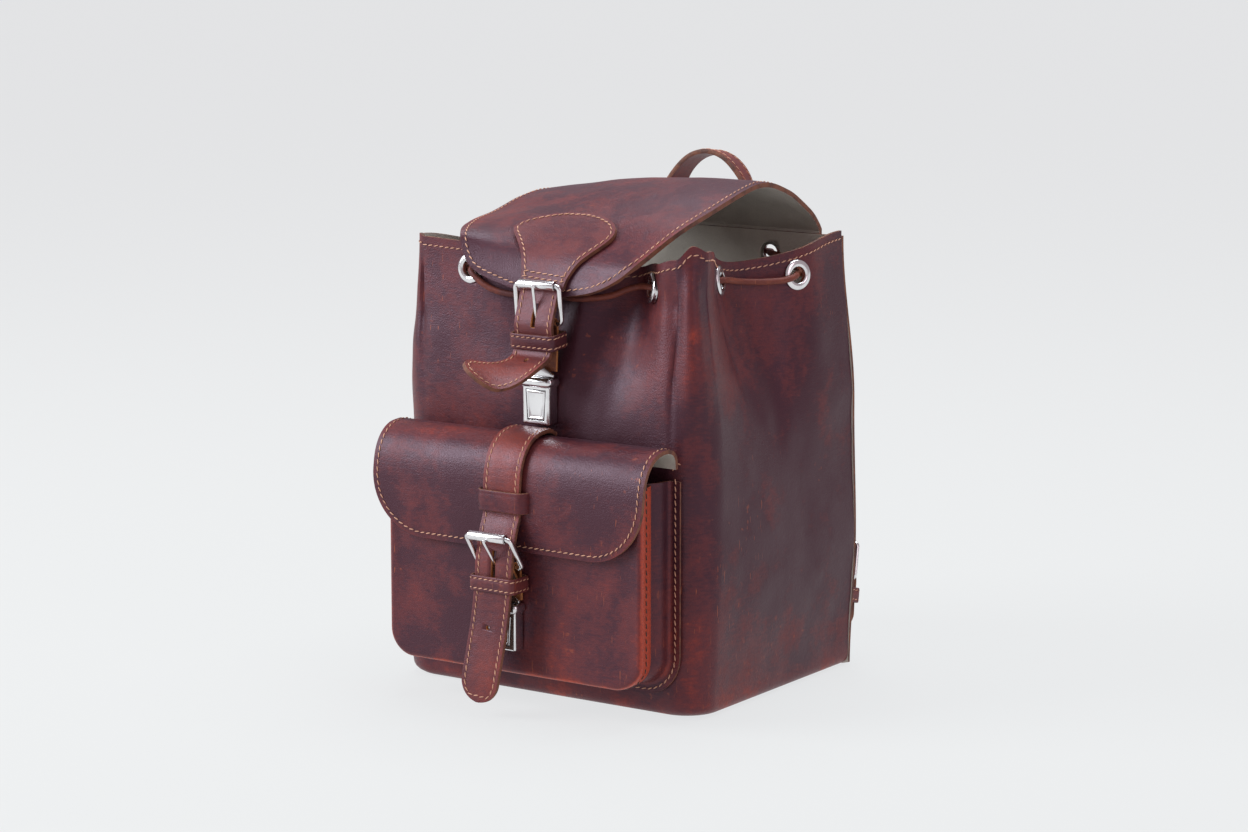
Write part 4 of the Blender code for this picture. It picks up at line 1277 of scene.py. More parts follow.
@dataclass
class Eyelets:
    """Nickel eyelets with a rolled lip outside and a flat washer inside."""

    shell: BodyShell
    bore: float = 6.0
    outer: float = 11.0

    def build(self) -> None:
        """Makes and places every eyelet."""
        a, b = self.bore, self.outer
        profile = [
            (a, -1.7), (a, 1.5), (a + 0.35, 2.0), (a + 1.2, 2.4), (a + 2.6, 2.42), (b - 1.1, 2.0),
            (b - 0.2, 1.5), (b, 1.15), (b - 0.3, 1.0), (a + 2.0, 1.0), (a + 1.9, -1.35),
            (b - 0.9, -1.35), (b - 0.7, -1.7), (b - 1.1, -1.95), (a + 0.5, -2.0),
        ]
        for name, (point, normal) in self.shell.places().items():
            centre = point - normal * (self.shell.hide / 2 - 0.75)
            solid = turned(centre, normal, profile, 56)
            ring = finished_mesh("eyelet_ring_" + name, solid, (Finish.NICKEL,), 50)
            Bench.put(ring, "root", Finish.NICKEL, "eyelet_" + name)


@dataclass
class Drawstring:
    """One leather lace through all eight eyelets, and the knot that joins its ends in front."""

    shell: BodyShell
    radius: float = 2.3
    right: tuple[Spot, ...] = (
        (2.545, 290.5, 3.6), (2.62, 290, 4.5), (2.70, 292, 11), (2.775, 296, 12), (2.828, 300, 5.6),
        (2.858, 301.5, 2.9), (2.876, 301.5, -1.2), (2.888, 301.5, -5.2), (2.93, 302, -8),
        (3.35, 302, -9), (3.8, 302, -9), (4.12, 302, -8), (4.255, 301.5, -7),
        (4.290, 301.5, -4.6), (4.305, 301.5, -1.2), (4.325, 301, 3), (4.36, 300, 4.4),
        (4.43, 298, 4.6), (4.52, 296.5, 7), (4.60, 296.5, 7), (4.645, 297.5, 5), (4.672, 299, 3.2),
        (4.690, 299.5, -1.2), (4.705, 299.7, -5), (4.76, 300, -9),
    )
    left: tuple[Spot, ...] = (
        (2.435, 290, 3.6), (2.36, 289.5, 3.4), (2.29, 292.5, 3.4), (2.235, 299, 3.9),
        (2.208, 304, 3.3), (2.195, 306, -1.2), (2.185, 306, -5.4), (2.13, 305, -8),
        (1.65, 303, -7), (1.2, 302, -7),
    )
    behind: tuple[Spot, ...] = (
        (95, 78, 302), (80, 91, 304.5), (67.5, 96.6, 306), (61.6, 99.8, 306),
        (60, 103, 306), (58.8, 106.4, 306), (54.8, 108.6, 306), (38, 108.7, 306),
        (18.0, 108.7, 306.0),
    )

    def route(self) -> list[Vector]:
        """The centre line from the knot's right side round to its left side."""
        def on_hide(spot: Spot) -> Vector:
            """A place given round the body, by height and stand-off."""
            q, z, lift = spot
            h = z / through(self.shell.rim, q)
            return self.shell.point(q, h) + self.shell.normal(q, h) * lift

        behind = [Vector(p) for p in self.behind]
        opposite = [Vector((-p.x, p.y, p.z)) for p in reversed(behind)]
        alike = self.right[self.right.index((4.12, 302, -8)):]
        left = [on_hide(spot) for spot in (*self.left, *((5 - q, z, lift) for q, z, lift in alike))]
        return [on_hide(spot) for spot in self.right] + behind + opposite + left[::-1]

    def build(self) -> None:
        """Makes the lace and its knot."""
        knots = self.route()
        path = smooth_path(knots, 4)

        def section(i: int, angle: float) -> float:
            """The lace's radius, with the groove where its edges meet."""
            groove = math.exp(-((angle - math.pi) / 0.30) ** 2) * 0.45
            return self.radius - groove + noise.noise(path[i] * 0.35 + Vector((angle, 0, 0))) * 0.09

        lace = finished_mesh("lace", swept(path, section, 16), (Finish.LACE,), CREASE)
        Bench.put(lace, "root", Finish.LACE, "drawstring")
        middle = (knots[0] + knots[-1]) / 2
        axis = knots[0] - knots[-1]
        reach = axis.length / 2 - 0.6
        profile = [(0.4, -reach)]
        for k in range(25):
            share = k / 24
            radius = 3.0 + 0.85 * abs(math.sin(math.pi * share * 3)) ** 0.6
            profile.append((radius * (0.75 if k in (0, 24) else 1.0), -reach + 2 * reach * share))
        profile.append((0.4, reach))
        knot = finished_mesh("lace_knot", turned(middle, axis, profile, 28), (Finish.LACE,), CREASE)
        Bench.put(knot, "root", Finish.LACE, "drawstring_knot")
        metres = [tuple(p * MM) for p in path]
        length = reach_along(path)[-1] * MM


# --- main flap


@dataclass
class MainFlap:
    """The top flap, sewn on behind the back panel and bent over the opening."""

    thick: float = 3.5
    strip_low: float = 317.6
    strip_y: float = 109.0
    rows: tuple[tuple[Spot, Spot, Spot], ...] = (
        ((-101, 107.5, 328.4), (0, 107.5, 328.4), (101, 107.5, 328.4)),
        ((-101, 92, 337), (0, 92, 343), (101, 92, 343)),
        ((-101, 64, 346), (0, 64, 357), (101, 64, 358)),
        ((-101, 30, 349), (0, 30, 365), (101, 30, 367)),
        ((-101, -2, 345), (0, -8, 361), (101, -2, 363)),
        ((-100, -32, 339), (0, -38, 352), (98, -32, 354)),
        ((-91, -70, 336), (0, -66, 341), (92, -70, 341)),
        ((-79, -97, 332), (0, -90, 321), (79, -98.5, 322)),
        ((-71, -103.5, 316), (0, -100, 306), (62, -102.5, 308)),
        ((-57, -104.5, 304), (0, -103.5, 297), (42, -104, 298)),
        ((-16, -104.5, 292.5), (0, -104.5, 292.5), (16, -104.5, 292.5)),
    )

    @property
    def fold(self) -> Bend:
        """Where the flap bends between the body and itself."""
        return "root", "flap", (0, 106.6, 322.5), (0, 98.0, 338.0)

    def point(self, u: float, v: float) -> Vector:
        """A point of the outer face.

        Args:
            u: -1 at the left edge to 1 at the right.
            v: 0 at the fold to 1 at the front.

        Returns:
            The point.
        """
        place = v * (len(self.rows) - 1)
        row = min(int(place), len(self.rows) - 2)
        lines = []
        for k in (-1, 0, 1, 2):
            left, middle, right = (Vector(p) for p in self.rows[min(max(row + k, 0), len(self.rows) - 1)])
            lines.append(left * (u * (u - 1) / 2) + middle * (1 - u * u) + right * (u * (u + 1) / 2))
        return catmull(lines, place - row)

    def normal(self, u: float, v: float) -> Vector:
        """Outward normal of the outer face."""
        down = self.point(u, v + 0.01) - self.point(u, v - 0.01)
        return down.cross(self.point(u + 0.02, v) - self.point(u - 0.02, v)).normalized()

    def sheet(self) -> Hide:
        """The flap and its sewn strip as one sheet."""
        spread = spread_over(56, 190.0)
        grid = []
        for z in (self.strip_low, 318.4, 320.0, 322.0, 324.0, 325.8):
            grid.append([Vector((101 * u, self.strip_y, z)) for u in spread])
        downs = [0.012 + 0.968 * k / 96 for k in range(97)] + [0.985, 0.990, 0.995, 0.998, 1.0]
        for v in downs:
            line = []
            for u in spread:
                point = self.point(u, v)
                calm = through(((0.02, 0), (0.12, 1), (0.45, 1), (0.56, 0)), v)
                sag = calm * (noise.noise(point * 0.018) * 1.3 + noise.noise(point * 0.05) * 0.4)
                line.append(point + self.normal(u, min(max(v, 0.02), 0.98)) * sag)
            grid.append(line)
        bend = []
        for i in range(len(grid)):
            v = 0.0 if i < 6 else downs[i - 6]
            bend.append([max(bump(v - 0.62, 0.16) * 0.35, bump(v - 0.02, 0.07) * 0.6) for _ in spread])
        return Hide("flap_hide", grid, self.thick, -1, back=Finish.LINING, seams="lrt",
                    bend=lambda i, j: bend[i][j])

    def build(self) -> None:
        """Makes the flap and its edge seam."""
        sheet = self.sheet()
        piece = sheet.build()
        pins = []
        for u, v in ((0.10, 0.33), (0.23, 0.35)):
            spot, out = self.point(u, v), self.normal(u, v)
            pins.append(rod(spot - out * 1.2, spot + out * 3, 0.6, 12))
        Bench.carve(piece, pins, Finish.FLESH)
        Bench.put(piece, "flap", Finish.HIDE, "main_flap", "flap_sewn_strip", between=self.fold)
        behind = Row([Vector((x, self.strip_y + 0.25, 321.6)) for x in range(-98, 99, 2)], [REAR] * 99)
        Bench.sew("flap_edge_stitches", "flap", [sheet.row(4.2, "lTR"), behind], between=self.fold)


# --- metalware


@dataclass
class RollerBuckle:
    """A roller buckle: an arched frame, a roller on its far bar and a prong on its heel bar."""

    name: str
    body: str
    roller: Vector
    heel: Vector
    facing: Vector
    half: float = 19.0
    wire: float = 1.8
    roll: float = 3.5
    bore: float = 2.2
    roller_half: float = 16.4
    prong: float = 1.15
    gap: float = 0.35
    strap: float = 3.0
    hide: float = 2.5

    def __post_init__(self) -> None:
        """Works out the buckle's own directions."""
        self.along = (self.roller - self.heel).normalized()
        self.across = self.along.cross(self.facing).normalized()
        self.outward = self.across.cross(self.along)
        self.span = (self.roller - self.heel).length

    def at(self, across: float, along: float, outward: float) -> Vector:
        """A point given from the heel bar's middle."""
        return self.heel + self.across * across + self.along * along + self.outward * outward

    def strap_points(self) -> tuple[Vector, Vector]:
        """Where the strap's middle passes behind the roller and over the heel bar."""
        behind = self.roll + self.gap + self.strap / 2 + 0.3
        over = self.wire + 2 * self.gap + self.hide + self.strap / 2 + 0.9
        return self.at(0, self.span, -behind), self.at(0, 0.0, over)

    def slot(self) -> Mesh:
        """Cutter for the slot that the prong comes up through."""
        rings = []
        for side in (-1.9, 1.9):
            corners = ((-2.0, -8.0), (14.0, -8.0), (14.0, 12.0), (-2.0, 12.0))
            rings.append([self.at(side, along, outward) for along, outward in corners])
        return loft(rings)

    def build(self) -> None:
        """Makes and places the frame, the roller and the prong."""
        loop, corner = [], 3.6
        for sx, top, start in ((1, 0, -90), (1, 1, 0), (-1, 1, 90), (-1, 0, 180)):
            cx, cy = sx * (self.half - corner), (self.span - corner if top else corner)
            for k in range(9):
                angle = math.radians(start + 90 * k / 8)
                loop.append(self.at(cx + corner * math.cos(angle), cy + corner * math.sin(angle), 0))
        loop = self._dense(loop)

        def section(i: int, angle: float) -> float:
            """The wire's radius: pressed flatter on its outer face along the arms."""
            flat = 0.16 * max(math.cos(angle), 0.0) ** 4
            return self.wire * (1.02 - flat)

        wire = swept(loop, section, 18, True, self.outward)
        body = finished_mesh(self.name + "_arms", wire, (Finish.NICKEL,), CREASE)
        Bench.put(body, self.body, Finish.NICKEL, self.name + "_frame")
        end, r = self.roller_half - 1, self.roll
        profile = [(self.bore, -end), (r - 0.45, -end), (r - 0.12, 0.2 - end), (r, 0.6 - end),
                   (r, end - 0.6), (r - 0.12, end - 0.2), (r - 0.45, end), (self.bore, end)]
        roller = finished_mesh(self.name + "_tube", turned(self.roller, self.across, profile, 48),
                               (Finish.NICKEL,), 40)
        Bench.put(roller, self.name + "_roller", Finish.NICKEL, self.name + "_roller")
        hook = []
        reach = self.wire + self.gap + self.prong + 0.15
        for degrees in (250, 205, 160, 115, 75):
            angle = math.radians(degrees)
            hook.append(self.at(0, reach * math.cos(angle), reach * math.sin(angle)))
        top = self.roll + self.gap + self.prong
        hook += [self.at(0, 9.5, 4.3), self.at(0, 17, 4.6), self.at(0, self.span - 2, top + 0.15),
                 self.at(0, self.span + 2.2, top + 0.1)]
        path = smooth_path(hook, 5)
        last = len(path) - 1

        def taper(i: int, angle: float) -> float:
            """The prong's radius: rounded off at its tip."""
            left = (last - i) / 4
            return self.prong * (1.0 if left >= 1 else math.sqrt(1 - (1 - left) ** 2) * 0.9 + 0.1)

        prong = finished_mesh(self.name + "_pin", swept(path, taper, 14), (Finish.NICKEL,), CREASE)
        Bench.put(prong, self.name + "_prong", Finish.NICKEL, self.name + "_prong")

    @staticmethod
    def _dense(loop: list[Vector]) -> list[Vector]:
        """The loop with extra points along its straights."""
        full = []
        for a, b in zip(loop, loop[1:] + loop[:1]):
            steps = max(int((b - a).length / 2.5), 1)
            full += [a.lerp(b, k / steps) for k in range(steps)]
        return full


@dataclass
class Keeper:
    """A leather loop round a strap, with two lines of stitches."""

    name: str
    node: str
    body: str
    centre: Vector
    along: Vector
    facing: Vector
    depth: float
    width: float = 32.0

    def build(self) -> None:
        """Makes the loop and its stitches."""
        along = self.along.normalized()
        across = along.cross(self.facing).normalized()
        outward = across.cross(along)
        loop = self._outline(self.width / 2 + 1.6, self.depth / 2, 2.2)
        section = [(0.0, -5.5), (1.15, -5.6), (1.6, -5.25), (1.72, -4.3), (1.42, -3.5), (1.74, -2.7),
                   (1.82, 0), (1.74, 2.7), (1.42, 3.5), (1.72, 4.3), (1.6, 5.25), (1.15, 5.6), (0, 5.5),
                   (0.0, 0.0)]
        stripes = [1] + [0] * 10 + [1] + [2, 2]
        rings, lines = [], ([], [])
        lifts = []
        for x, y, nx, ny in loop:
            base = self.centre + across * x + outward * y
            out = across * nx + outward * ny
            rings.append([base + out * grow + along * h for grow, h in section])
            for line, h in zip(lines, (-3.5, 3.5)):
                line.append(base + out * 1.55 + along * h)
            lifts.append(out)
        bm = loft(rings, closed=True, stripes=stripes)
        loop_piece = finished_mesh(self.name, bm, (Finish.STRAP, Finish.EDGE, Finish.FLESH), 50)
        Bench.put(loop_piece, self.body, Finish.STRAP, self.node)
        rows = [Row(line + line[:1], lifts + lifts[:1]) for line in lines]
        Bench.sew(self.name + "_stitches", self.body, rows, Pitch=0.0044, Length=0.0036)

    @staticmethod
    def _outline(half_x: float, half_y: float, corner: float) -> Outline:
        """Points and outward directions round a rounded rectangle."""
        loop = []
        for sx, sy, start in ((1, -1, -90), (1, 1, 0), (-1, 1, 90), (-1, -1, 180)):
            for k in range(7):
                angle = math.radians(start + 15 * k)
                nx, ny = math.cos(angle), math.sin(angle)
                x, y = sx * (half_x - corner) + corner * nx, sy * (half_y - corner) + corner * ny
                loop.append((x, y, nx, ny))
            if sy == sx:
                for k in range(1, 8):
                    x = half_x - corner - (2 * (half_x - corner)) * k / 8
                    loop.append((x * sx, half_y * sy, 0.0, float(sy)))
        return loop


@dataclass
class TuckLock:
    """A tuck lock: collar, case with a press lever, and the spire-shaped plate above it."""

    name: str
    body: str
    top: float
    surface: float
    insert: float
    width: float = 24.0
    height: float = 27.0
    deep: float = 9.5
    collar_width: float = 28.0
    collar_height: float = 7.0
    collar_deep: float = 12.0
    gap: float = 0.35

    def _slab(self, half: float, face: float, front: float, corner: float, z: float) -> list[Vector]:
        """A ring at height z with rounded front corners."""
        ring = [Vector((-half, face, z)), Vector((half, face, z))]
        for cx, start in ((half - corner, 0), (corner - half, -90)):
            for k in range(6):
                angle = math.radians(start - 18 * k)
                x = cx + corner * math.cos(angle)
                ring.append(Vector((x, front + corner + corner * math.sin(angle), z)))
        return ring

    def build(self) -> None:
        """Makes the case, the lever and the tongue plate."""
        face = self.surface - self.gap
        front = face - self.deep
        neck = self.top - self.collar_height
        low = neck - self.height
        half = self.width / 2
        rings = [self._slab(half - 0.9, face, front + 1.0, 1.4, low),
                 self._slab(half - 0.2, face, front + 0.3, 1.6, low + 0.6),
                 self._slab(half, face, front, 1.8, low + 1.6), self._slab(half, face, front, 1.8, neck),
                 self._slab(half + 0.5, face, front - 0.6, 1.8, neck + 0.1)]
        collar, deep = self.collar_width / 2, face - self.collar_deep
        for share in (0.0, 0.12, 0.30, 0.5, 0.7, 0.88, 1.0):
            round_in = 1.6 * (1 - math.sqrt(max(1 - (2 * share - 1) ** 2, 0)))
            z = neck + 0.5 + (self.collar_height - 0.5) * share
            rings.append(self._slab(collar - round_in, face, deep + round_in, 3.4, z))
        case = finished_mesh(self.name + "_shell", loft(rings), (Finish.NICKEL,), 32)
        corners = ((-7.4, low + 3.2), (7.4, low + 3.2), (8.8, neck - 1.6), (-8.8, neck - 1.6))
        window = loft([[Vector((x, y, z)) for x, z in corners] for y in (front - 2, front + 5.5)])
        corners = ((-9.5, front + 2.2), (9.5, front + 2.2), (9.5, face - 1.6), (-9.5, face - 1.6))
        mouth = loft([[Vector((x, y, z)) for x, y in corners] for z in (neck - 0.5, self.top + 2)])
        Bench.carve(case, [window, mouth], Finish.NICKEL)
        soften(case, 0.28, 2, 40, 35)
        Bench.put(case, "root", Finish.NICKEL, self.name + "_case")
        self._lever(front, low, neck - 2.6)
        self._plate(face - 5.2)

    def _lever(self, front: float, low: float, hinge: float) -> None:
        """The press lever: a dished plate inside a raised frame."""
        rings = []
        for inset, y in ((0.0, front + 1.1), (0.0, front + 0.2), (0.35, front - 0.25), (1.3, front - 0.25),
                         (1.7, front + 0.25), (3.4, front + 0.45)):
            ring = []
            for x, z in ((-6.9, low + 3.9), (6.9, low + 3.9), (8.2, hinge + 0.3), (-8.2, hinge + 0.3)):
                rise = inset if z < low + 9 else -inset
                ring.append(Vector((x - math.copysign(inset, x), y, z + rise)))
            rings.append(ring)
        lever = finished_mesh(self.name + "_press", loft(rings), (Finish.NICKEL,), 30.0)
        soften(lever, 0.22, 2, 28, 38)
        Bench.put(lever, self.name + "_lever", Finish.NICKEL, self.name + "_lever")

    def _plate(self, middle: float) -> None:
        """The tongue plate with its stepped spire."""
        top, insert = self.top, self.insert
        outline = [(-13, top + 0.6), (-9.0, top + 0.6), (-9.0, top - insert), (9.0, top - insert),
                   (9.0, top + 0.6), (13, top + 0.6), (13, top + 2.4), (5.2, top + 7.4), (2.6, top + 5.6),
                   (0, top + 9.6), (-2.6, top + 7.8), (-13, top + 2.4)]
        if insert <= 0:
            outline = [(-13, top + 0.6), (13, top + 0.6)] + outline[6:]
        rings = [[Vector((x, y, z)) for x, z in outline] for y in (middle - 1.1, middle + 1.1)]
        plate = finished_mesh(self.name + "_plate", loft(rings), (Finish.NICKEL,), 30.0)
        soften(plate, 0.4, 3, 28, 38)
        Bench.put(plate, self.body, Finish.NICKEL, self.name + "_tongue")


@dataclass
class Tab:
    """The leather tab folded round a buckle's heel bar."""

    name: str
    node: str
    body: str
    buckle: RollerBuckle
    end: Vector
    thick: float = 2.0
    width: float = 27.0

    def build(self) -> None:
        """Makes the folded tab with its prong slot."""
        buckle = self.buckle
        radius = buckle.wire + buckle.gap + self.thick / 2
        path = [buckle.at(0, -12.5, radius), buckle.at(0, -9.0, radius), buckle.at(0, -6.0, radius),
                buckle.at(0, -3.0, radius)]
        for k in range(13):
            angle = math.radians(15 * k)
            path.append(buckle.at(0, radius * math.sin(angle), radius * math.cos(angle)))
        path += [buckle.at(0, -3.0, -radius), buckle.at(0, -6.0, -radius)]
        path += [path[-1].lerp(self.end, k / 6) for k in range(1, 7)]
        facing = []
        for before, after in zip([path[0], *path], [*path[1:], path[-1]]):
            facing.append((after - before).cross(buckle.across))
        facing[0] = facing[1]
        strap = Strap(self.name, path, [self.width] * len(path), facing, self.thick, Finish.TAB,
                      Finish.TAN_EDGE, inset=2.6)
        piece = strap.build()
        slot = []
        for side in (-2.2, 2.2):
            corners = ((-5.5, -9.0), (-5.5, 9.0), (7.0, 9.0), (7.0, -9.0))
            slot.append([buckle.at(side, along, outward) for along, outward in corners])
        Bench.carve(piece, [loft(slot)], Finish.TAN_EDGE)
        Bench.put(piece, self.body, Finish.TAB, self.node)


# --- closures


@dataclass
class MainClosure:
    """Shield patch and strap of the main flap, with its buckle, keeper, tab and lock."""

    flap: MainFlap
    strap_width: float = 32.0
    strap_thick: float = 3.0
    gap: float = 0.35
    roller: Spot = (0.0, -112.5, 301.0)
    heel: Spot = (0.0, -109.5, 274.0)
    lock_top: float = 235.0
    twist: float = 38.0
    patch: Knots = (
        (0.575, 9), (0.585, 22), (0.605, 36), (0.630, 43), (0.655, 42), (0.690, 33),
        (0.730, 25), (0.780, 20), (0.840, 17), (0.900, 16),
    )
    tail: tuple[Spot, ...] = (
        (0, -116.2, 266), (-0.3, -116.4, 256), (-1.5, -120.5, 248.5), (-3.5, -136, 243.5),
        (-6, -152, 241.5), (-9, -167, 242.5), (-11.5, -178, 245.5),
    )

    def _patch_rows(self) -> list[tuple[float, float]]:
        """Places down the flap and half widths of the patch, finely spaced."""
        smooth = smooth_path([(v * 100, half, 0) for v, half in self.patch], 5)
        return [(p.x / 100, p.y) for p in smooth]

    def sheet(self, buckle: RollerBuckle) -> Hide:
        """The patch and the strap as one sheet."""
        spread = [-1, -0.985, -0.94, -0.86] + [-0.72 + 1.44 * k / 12 for k in range(13)]
        spread += [0.86, 0.94, 0.985, 1]
        grid = []
        for v, half in self._patch_rows():
            line = []
            for share in spread:
                u = half * share / self.flap.point(1, v).x
                line.append(self.flap.point(u, v) + self.flap.normal(u, v) * (self.strap_thick + self.gap))
            grid.append(line)
        behind, over = buckle.strap_points()
        knots = [behind, behind.lerp(over, 0.5), over] + [Vector(p) for p in self.tail]
        line = fine_tip(smooth_path(knots, 8), STRAP_TIP)
        widths = tip_widths(line, self.strap_width, STRAP_TIP)
        for i, point in enumerate(line):
            turn = math.radians(self.twist) * through(((-172, 1), (-119, 0)), point.y)
            across = Vector((math.cos(turn), 0, -math.sin(turn)))
            outer = point + tangent(line, i).cross(across).normalized() * self.strap_thick / 2
            grid.append([outer + across * widths[i] / 2 * share for share in spread])
        first = len(self._patch_rows())
        bend = [0.15 if i < first else 0.55 for i in range(len(grid))]
        return Hide("flap_patch", grid, self.strap_thick, -1, Finish.STRAP, bend=lambda i, j: bend[i])

    def build(self) -> None:
        """Makes and places the whole closure."""
        buckle = RollerBuckle("main_buckle", "flap", Vector(self.roller), Vector(self.heel), FRONT)
        buckle.build()
        sheet = self.sheet(buckle)
        piece = sheet.build()
        punch = rod(Vector((-1.6, -128.0, 240.0)), Vector((-1.6, -121.0, 254.0)), 1.4, 24)
        Bench.carve(piece, [buckle.slot(), punch], Finish.TAN_EDGE)
        Bench.put(piece, "flap", Finish.STRAP, "flap_patch_and_strap")
        rows = [sheet.row(3.0, "brTL")]
        lines = []
        for v, share in ((0.80, 0.86), (0.83, 0.86)):
            half = dict(self.patch).get(0.840, 17.0) * share
            places = [half * (k / 12 - 1) / self.flap.point(1, v).x for k in range(25)]
            up = self.strap_thick + self.gap + 0.3
            lines.append(Row([self.flap.point(u, v) + self.flap.normal(u, v) * up for u in places],
                             [self.flap.normal(u, v) for u in places]))
        Bench.sew("flap_patch_stitches", "flap", rows + lines)
        Keeper("main_loop", "main_keeper", "flap", buckle.at(0, -12.0, 2.9), buckle.along, FRONT,
               16.6).build()
        TuckLock("main_lock", "flap", self.lock_top, -105.0, 2.6).build()
        Tab("main_fold", "main_tab", "flap", buckle, Vector((0, -107.5, 239.5))).build()


@dataclass
class Pocket:
    """The front pocket: its front, the gusset with its flange, and the raised band between them."""

    half: float = 108.0
    low: float = 26.0
    top: float = 171.0
    corner: float = 20.0
    front: float = -148.0
    hide: float = 2.5
    flange: float = 10.0
    gap: float = 0.35
    body_face: float = -105.0
    swell: float = 5.0

    def outline(self, grow: float) -> Outline:
        """The pocket's U from its left top round to its right top, with outward directions."""
        half, low, corner = self.half + grow, self.low - grow, self.corner + grow
        line = [(-half, self.top + (low + corner - self.top) * k / 24, -1.0, 0.0) for k in range(24)]
        for sx, start in ((-1, 180), (1, 270)):
            for k in range(13):
                angle = math.radians(start + 90 * k / 12)
                nx, nz = math.cos(angle), math.sin(angle)
                line.append((sx * (half - corner) + corner * nx, low + corner + corner * nz, nx, nz))
            if sx < 0:
                line += [(x * (half - corner) / 20, low, 0.0, -1.0) for x in range(-19, 20)]
        line += [(half, low + corner + (self.top - low - corner) * k / 24, 1.0, 0.0) for k in range(1, 25)]
        return line

    def _front(self) -> None:
        """The front panel, whose edge rolls over and runs back along the side."""
        around = self.outline(0.0)
        reach = reach_along([Vector((x, 0, z)) for x, z, _, _ in around])
        roll = 4.0
        inside = [0.0, 0.04] + [0.04 + 0.9 * k / 24 for k in range(1, 25)] + [0.965, 0.985, 1.0]
        turn = (0.22, 0.5, 0.8, 1.1, 1.35, 1.57)
        side = [(roll * (math.sin(a) - 1), roll * (1 - math.cos(a))) for a in turn]
        side += [(0.05, 6.0), (0.05, 8.0), (-0.1, 10.5), (0.0, 13.0), (0.0, 15.5), (-0.1, 18.0),
                 (-0.7, 19.6), (-1.5, 20.8)]
        grid = []
        for (x, z, nx, nz), distance in zip(around, reach):
            share = distance / reach[-1]
            root = Vector(((self.half - roll - 2) * (2 * share - 1), self.front, self.top))
            swell = self.swell * max(nx, 0.0) ** 2
            rim = Vector((x + swell - nx * roll, self.front, z - nz * roll))
            row = []
            for f in inside:
                point = root.lerp(rim, f)
                calm = min((1 - f) * 5, 1.0) * through(((self.low, 0.4), (self.low + 30, 1)), point.z)
                point.y += calm * (0.55 + noise.noise(point * 0.022) * 0.5)
                row.append(point)
            for out, back in side:
                spread = swell * (1 - back / 20.8)
                row.append(Vector((x + spread + nx * out, self.front + back, z + nz * out)))
            grid.append(row)
        bend = [0.0] * 22 + [0.04, 0.08, 0.12, 0.18, 0.24, 0.3, 0.4, 0.6, 0.85, 1.1, 1.25]
        bend += [1.35] * (len(grid[0]) - len(bend))
        panel = Hide("pocket_face", grid, 1.6, 1, seams="", bend=lambda i, j: bend[j])
        Bench.put(panel.build(), "root", Finish.HIDE, "pocket_front")
        band = Row([Vector((x + self.swell * max(nx, 0.0) ** 2 * 0.6 + nx * 0.3, -139.6, z + nz * 0.3))
                    for x, z, nx, nz in around],
                   [Vector((nx, 0, nz)) for _, _, nx, nz in around])
        Bench.sew("pocket_band_stitches", "root", [band], Finish.DARK_THREAD, Pitch=0.0054, Length=0.0042)

    def _gusset(self) -> None:
        """The gusset behind the rolled edge, and the flange on the body."""
        sewn = self.body_face - self.gap - self.hide
        knots = [(-2.4, -134.0), (-2.8, -129.0), (-4.0, -126.6), (-3.8, -123.6), (-1.8, -120.8),
                 (0.0, -117.4), (0.6, -114.0), (0.9, -111.0), (1.9, sewn - 0.8), (3.4, sewn),
                 (7.0, sewn), (self.flange, sewn)]
        section = smooth_path([(g, y, 0) for g, y in knots], 3)
        lines = [self.outline(p.x) for p in section]
        grid = []
        for i in range(len(lines[0])):
            grid.append([Vector((line[i][0], p.y, line[i][1])) for line, p in zip(lines, section)])
        bend = [0.7 if p.y > -109.5 and p.x < 4 else 0.1 for p in section]
        sheet = Hide("pocket_gusset_hide", grid, self.hide - 0.9, 1, back=Finish.LINING, seams="r",
                     bend=lambda i, j: bend[j])
        Bench.put(sheet.build(), "root", Finish.WARM, "pocket_gusset")
        around = self.outline(self.flange - 3.6)
        flange = Row([Vector((x, sewn - 0.25, z)) for x, z, _, _ in around],
                     [FRONT] * len(around))
        Bench.sew("pocket_flange_stitches", "root", [flange])

    def build(self) -> None:
        """Makes and places the pocket."""
        self._front()
        self._gusset()


